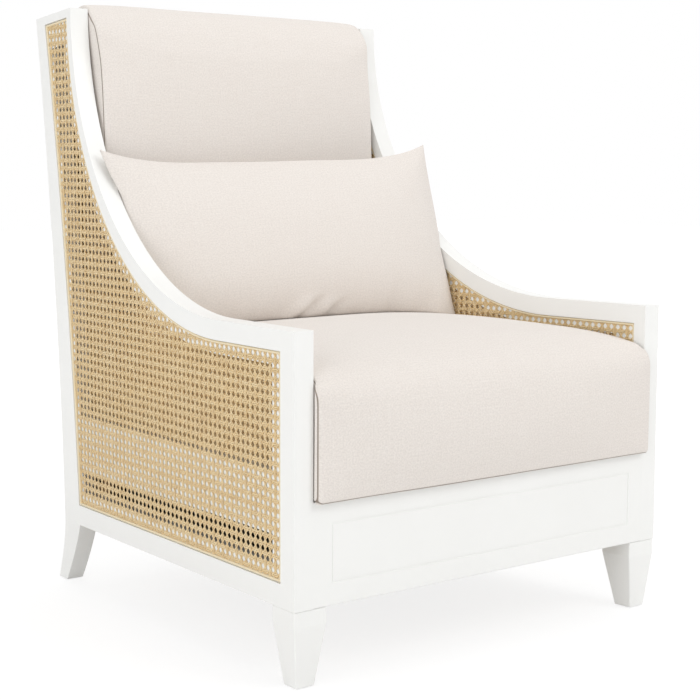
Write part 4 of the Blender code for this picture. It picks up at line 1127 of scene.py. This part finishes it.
outsideLines = [gridLines(outsideSize[0], outside["step"], outside["gridEdge"]), steps(0.0, outsideSize[1], 2),
                gridLines(outsideSize[2], outside["step"], outside["gridEdge"])]
outsideMesh = softBox("outsideBack", outsideLines, (outsideSize[0] / 2, 0.0, 0.0), placeOutside,
                      lambda x, y, z: outside["noSeam"], lambda axis, x, y, z: (x, z))[0]
soften(outsideMesh, *outside["soften"])
addSoft("outsideBack", outsideMesh, "chair_frame", "outside_back")
print("outside back made")

# lumbar pillow: two panels sewn edge to edge, blown up from flat, then leant on the back
pillow = {
    "cut": (0.615, 0.006, 0.331),  # between the corners, with the thickness of the flat start
    "step": 0.0075,
    "gridEdge": (0.0, 0.003, 0.007),
    "thickness": 0.108,
    "sag": 0.36,  # the fill is thickest this share of the way down from the middle
    "fillAcross": (3.2, 0.75),  # powers of the fill's fall towards the short sides
    "fillUp": (2.4, 0.7),  # and towards the long ones
    "wide": (0.613, 0.627),  # across the lower and the upper corners
    "ears": (0.004, 0.026),  # how far the sides and the top are drawn in between the corners
    "cap": 0.012,
    "cloth": {"tension": 15.0, "compression": 15.0, "shear": 6.0, "bending": 2.0},
    "lean": math.radians(19.5),
    "turn": math.radians(-6.6),
    "roll": math.radians(-1.4),  # its right end stands a little higher
    "move": (-0.004, -0.0075, -0.006),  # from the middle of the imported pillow
    "soften": (0.0010, 0.11, 5.2),
    "gap": 0.0012,  # to the seat and the back
    "sideGap": 0.002,
    "armGap": 0.003,
}
# folds that run up from the lower seam
crease = {"depth": 0.0055, "reach": 0.036, "spacing": 0.024, "rise": 0.09}
# where the front folds over itself above the seat, and how far to the side each fold runs as it rises
tucks = (
    {"x": -0.032, "lean": 1.3, "length": 0.046, "depth": 0.0075},
    {"x": 0.020, "lean": 1.4, "length": 0.040, "depth": 0.0050},
)
tuckRidge = (-0.009, 0.011)  # place and width of the ridge beside a tuck's line
tuckValley = (0.004, 0.006)
halfCut = [size / 2 for size in pillow["cut"]]


def startPillow(x, y, z):
    a, c = x / halfCut[0], z / halfCut[2]
    sag = pillow["sag"]
    level = (c + sag) / (1 + sag if c > -sag else 1 - sag)
    fill = 1.0
    for value, (inner, outer) in ((a, pillow["fillAcross"]), (level, pillow["fillUp"])):
        fill *= max(0.0, 1 - abs(value) ** inner) ** outer
    low, high = pillow["wide"]
    across = a * ((low + (high - low) * (c + 1) / 2) / 2 - pillow["ears"][0] * (1 - c * c))
    up = c * (halfCut[2] - pillow["ears"][1] * (1 - abs(a) ** 5))
    return across, y * (1 + pillow["thickness"] / pillow["cut"][1] * fill), up


def creaseHeight(x, y, z):
    rise = z + halfCut[2]
    fold = noise.noise(Vector((x / crease["spacing"], z / crease["rise"], 0.0 if y < 0 else 4.0)))
    height = crease["depth"] * math.exp(-rise / crease["reach"]) * fold
    for tuck in tucks if y < 0 else ():
        off = (x - tuck["x"] - tuck["lean"] * rise) / math.hypot(1.0, tuck["lean"])
        ridge, valley = (math.exp(-((off - place) / width) ** 2) for place, width in (tuckRidge, tuckValley))
        height += tuck["depth"] * smoothStep(tuck["length"], tuck["length"] * 0.3, rise) * (ridge - valley)
    return height


def restOn(mesh, support, way):
    # points that would be inside a support are pressed out of it along one way
    gap, reach = pillow["gap"], 0.2
    tree = BVHTree.FromPolygons([v.co for v in support.vertices], [p.vertices for p in support.polygons])
    for vertex in mesh.vertices:
        hit = tree.ray_cast(vertex.co + way * reach, -way, reach + gap)[0]
        if hit is not None and (hit - vertex.co).dot(way) > -gap:
            vertex.co = hit + way * gap


pillowLines = [gridLines(pillow["cut"][0], pillow["step"], pillow["gridEdge"]), steps(0.0, pillow["cut"][1], 2),
               gridLines(pillow["cut"][2], pillow["step"], pillow["gridEdge"])]
pillowMesh, flat = softBox("lumbarPillow", pillowLines, halfCut, startPillow,
                           lambda x, y, z: abs(y) + min(halfCut[0] - abs(x), halfCut[2] - abs(z)),
                           lambda axis, x, y, z: (x, z))
puff(pillowMesh, [abs(y) < tiny for x, y, z in flat], pillow["cap"], pillow["cloth"])
pillowMesh.transform(Matrix.Rotation(pillow["turn"], 4, "Z") @ Matrix.Rotation(-pillow["lean"], 4, "X")
                     @ Matrix.Rotation(pillow["roll"], 4, "Y"))
cadLow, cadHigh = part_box("lumbar_pillow")
low = Vector([min(v.co[n] for v in pillowMesh.vertices) for n in range(3)])
high = Vector([max(v.co[n] for v in pillowMesh.vertices) for n in range(3)])
pillowMesh.transform(Matrix.Translation((cadLow + cadHigh) / 2 - (low + high) / 2 + Vector(pillow["move"])))
soften(pillowMesh, *pillow["soften"])
pushOut(pillowMesh, [vertex.normal * creaseHeight(*point) for vertex, point in zip(pillowMesh.vertices, flat)])
restOn(pillowMesh, seatMesh, Vector((0, 0, 1)))
restOn(pillowMesh, padMesh, Vector((0, -1, 0)))
for vertex in pillowMesh.vertices:
    x, y, z = vertex.co
    above = max(0.0, z - armTop(y - frontY) - pillow["armGap"])
    room = between(y - frontY) - pillow["sideGap"] + above
    vertex.co.x = clamp(x, -room, room)
addSoft("lumbarPillow", pillowMesh, "lumbar_pillow", "lumbar_pillow")
print("pillow made")

# dust cover: thin cloth under the rails, notched round the legs
dustCover = {
    "inset": 0.012,
    "notch": 0.0615,
    "rearNotch": 0.93,  # share of the width that is left between the rear legs
    "sag": 0.005,
    "thick": 0.0006,
    "top": 0.1104,
    "end": (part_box("rear_rail")[0].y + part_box("rear_rail")[1].y) / 2 - frontY,
    "legSteps": 4,
    "acrossSteps": 40,
    "alongSteps": 36,
}


def coverEdge(y):
    return chair["halfWidth"] - dustCover["inset"] - chair["toe"] * y


notch, legSteps = dustCover["notch"], dustCover["legSteps"]
coverBack = frontEdge(chair["legHeight"]) - dustCover["inset"]
notchShare = (chair["halfWidth"] - chair["toe"] * notch - notch) / coverEdge(notch)
columns = steps(-1.0, -notchShare, legSteps) + steps(-notchShare, notchShare, dustCover["acrossSteps"])[1:]
columns += steps(notchShare, 1.0, legSteps)[1:]
rows = steps(dustCover["inset"], notch, legSteps) + steps(notch, coverBack, dustCover["alongSteps"])[1:]
rows += steps(coverBack, dustCover["end"], legSteps)[1:]
shape = bmesh.new()
grid = {}
for j, y in enumerate(rows):
    for i, a in enumerate(columns):
        atFrontLeg = j < legSteps and abs(a) > notchShare + tiny
        atRearLeg = j > legSteps + dustCover["alongSteps"] and abs(a) > dustCover["rearNotch"]
        if not atFrontLeg and not atRearLeg:
            c = 2 * (y - rows[0]) / (rows[-1] - rows[0]) - 1
            z = dustCover["top"] - dustCover["sag"] * (1 - a * a) * (1 - c * c)
            grid[i, j] = shape.verts.new((a * coverEdge(max(y, notch)), y + frontY, z))
coverArea = 0.0
for i, j in list(grid):
    ring = [grid.get(key) for key in ((i, j), (i, j + 1), (i + 1, j + 1), (i + 1, j))]
    if None not in ring:
        coverArea += shape.faces.new(ring).calc_area()
cover = fromShape(shape, bpy.data.meshes.new("dustCover"))
cover = modified(cover, "SOLIDIFY", thickness=dustCover["thick"], offset=-1.0)
cover.shade_smooth()
coverPiece = addPiece("dustCover", cover, "chair_frame", "cambric", ["dust_cover"])
2 * coverEdge(notch)
print("dust cover made")

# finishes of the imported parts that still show: pieces of each side, and single ones
packed = {
    "lacquer": (["seat_rail", "front_leg"], ["rear_rail"]),
    "hardwood": (["deck_cleat", "front_corner_block", "rear_corner_block", "back_stile"],
                 ["front_deck_rail", "rear_deck_rail", "crest_rail", "lower_back_rail"]),
    "steel": (["leg_stud"], []),
    "nylon": (["front_glide", "rear_glide"], []),
}
for slot, (paired, single) in packed.items():
    for name in single + [f"{word}_{kind}" for side, word in sides for kind in paired]:
        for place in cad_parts[name].material_slots:
            place.material = finish[slot]


# pale floor that reads white to the camera and keeps the chair's soft shadow
def seenRays(tree):  # 1 where a ray comes from the camera, straight or by a gloss or a clear surface
    rays = addNode(tree, "ShaderNodeLightPath").node.outputs
    seen = addNode(tree, "ShaderNodeMath", {0: rays["Is Camera Ray"], 1: rays["Is Glossy Ray"]},
                   operation="MAXIMUM")
    return addNode(tree, "ShaderNodeMath", {0: seen, 1: rays["Is Transmission Ray"]}, operation="MAXIMUM")


floorLook = {"colour": "F2F2F2", "roughness": 0.8, "glow": 0.81, "share": 0.24, "size": 14.0,
             "fade": (0.6, 2.2)}
reach = floorLook["size"]
floorMesh = gridMesh("floor", [(x, y, 0.0) for x, y in rectangle(-reach, -reach, reach, reach)], [],
                     [(0, 1, 2, 3)])
floor = bpy.data.objects.new("floor", floorMesh)
scene.collection.objects.link(floor)
paleFloor, tree, shader = newMaterial("paleFloor", {"Roughness": floorLook["roughness"], "IOR": 1.5,
                                                    "Base Color": linear(floorLook["colour"])})
place = addNode(tree, "ShaderNodeTexCoord", output="Object")
away = addNode(tree, "ShaderNodeVectorMath", {0: place}, output="Value", operation="LENGTH")
paler = addNode(tree, "ShaderNodeMapRange", {"Value": away, "From Min": floorLook["fade"][0],
                                             "From Max": floorLook["fade"][1], "To Min": floorLook["glow"],
                                             "To Max": 1.0}, interpolation_type="SMOOTHSTEP")
glow = addNode(tree, "ShaderNodeEmission", {"Strength": paler})
dim = addNode(tree, "ShaderNodeBsdfDiffuse", {"Color": (floorLook["share"],) * 3 + (1.0,)})
both = addNode(tree, "ShaderNodeAddShader", {0: glow, 1: dim})
mixed = addNode(tree, "ShaderNodeMixShader", {0: seenRays(tree), 1: shader.outputs["BSDF"], 2: both})
feed(tree.nodes["Material Output"], {"Surface": mixed})
floorMesh.materials.append(paleFloor)

# soft studio light: a pale surround, a broad key from the front right, a fill from the left and weak lamps
# above and behind
studio = {
    "surround": 0.64,
    "aim": (0.0, 0.0, 0.45),
    "lamps": {
        "key": {"at": (1.2, -3.0, 2.9), "size": 2.0, "watts": 40.0},
        "fill": {"at": (-3.6, -1.4, 1.6), "size": 3.0, "watts": 38.0},
        "top": {"at": (0.2, 0.0, 3.4), "size": 2.8, "watts": 19.0},
        "rear": {"at": (0.8, 3.4, 1.8), "size": 2.6, "watts": 20.0},
    },
}
world = bpy.data.worlds.new("paleSurround")
scene.world = world
world.use_nodes = True
tree = world.node_tree
level = addNode(tree, "ShaderNodeMapRange", {"Value": seenRays(tree), "To Min": studio["surround"],
                                             "To Max": 1.0})
feed(tree.nodes["Background"], {"Strength": level, "Color": (1.0, 1.0, 1.0, 1.0)})
for name, look in studio["lamps"].items():
    lamp = bpy.data.lights.new(name, "AREA")
    lamp.shape = "SQUARE"
    lamp.size = look["size"]
    lamp.energy = look["watts"]
    holder = bpy.data.objects.new(name, lamp)
    holder.location = look["at"]
    aim = Vector(studio["aim"]) - Vector(look["at"])
    holder.rotation_euler = aim.to_track_quat("-Z", "Y").to_euler()
    scene.collection.objects.link(holder)

# camera at the photograph's place: left of the front, a little above the middle of the back
view = {"lens": 83.56, "sensor": 36.0, "at": (-1.625, -1.688, 0.700), "turn": -38.83, "tilt": 6.39,
        "roll": 0.21}
cameraData = bpy.data.cameras.new("photoCamera")
cameraData.lens = view["lens"]
cameraData.sensor_width = view["sensor"]
camera = bpy.data.objects.new("photoCamera", cameraData)
camera.location = Vector(view["at"]) + Vector((0.0, frontY, 0.0))
camera.rotation_euler = (Matrix.Rotation(math.radians(view["turn"]), 3, "Z")
                         @ Matrix.Rotation(math.radians(90 - view["tilt"]), 3, "X")
                         @ Matrix.Rotation(math.radians(view["roll"]), 3, "Z")).to_euler()
scene.collection.objects.link(camera)
scene.camera = camera
scene.view_settings.view_transform = "Standard"

print("scene ready")
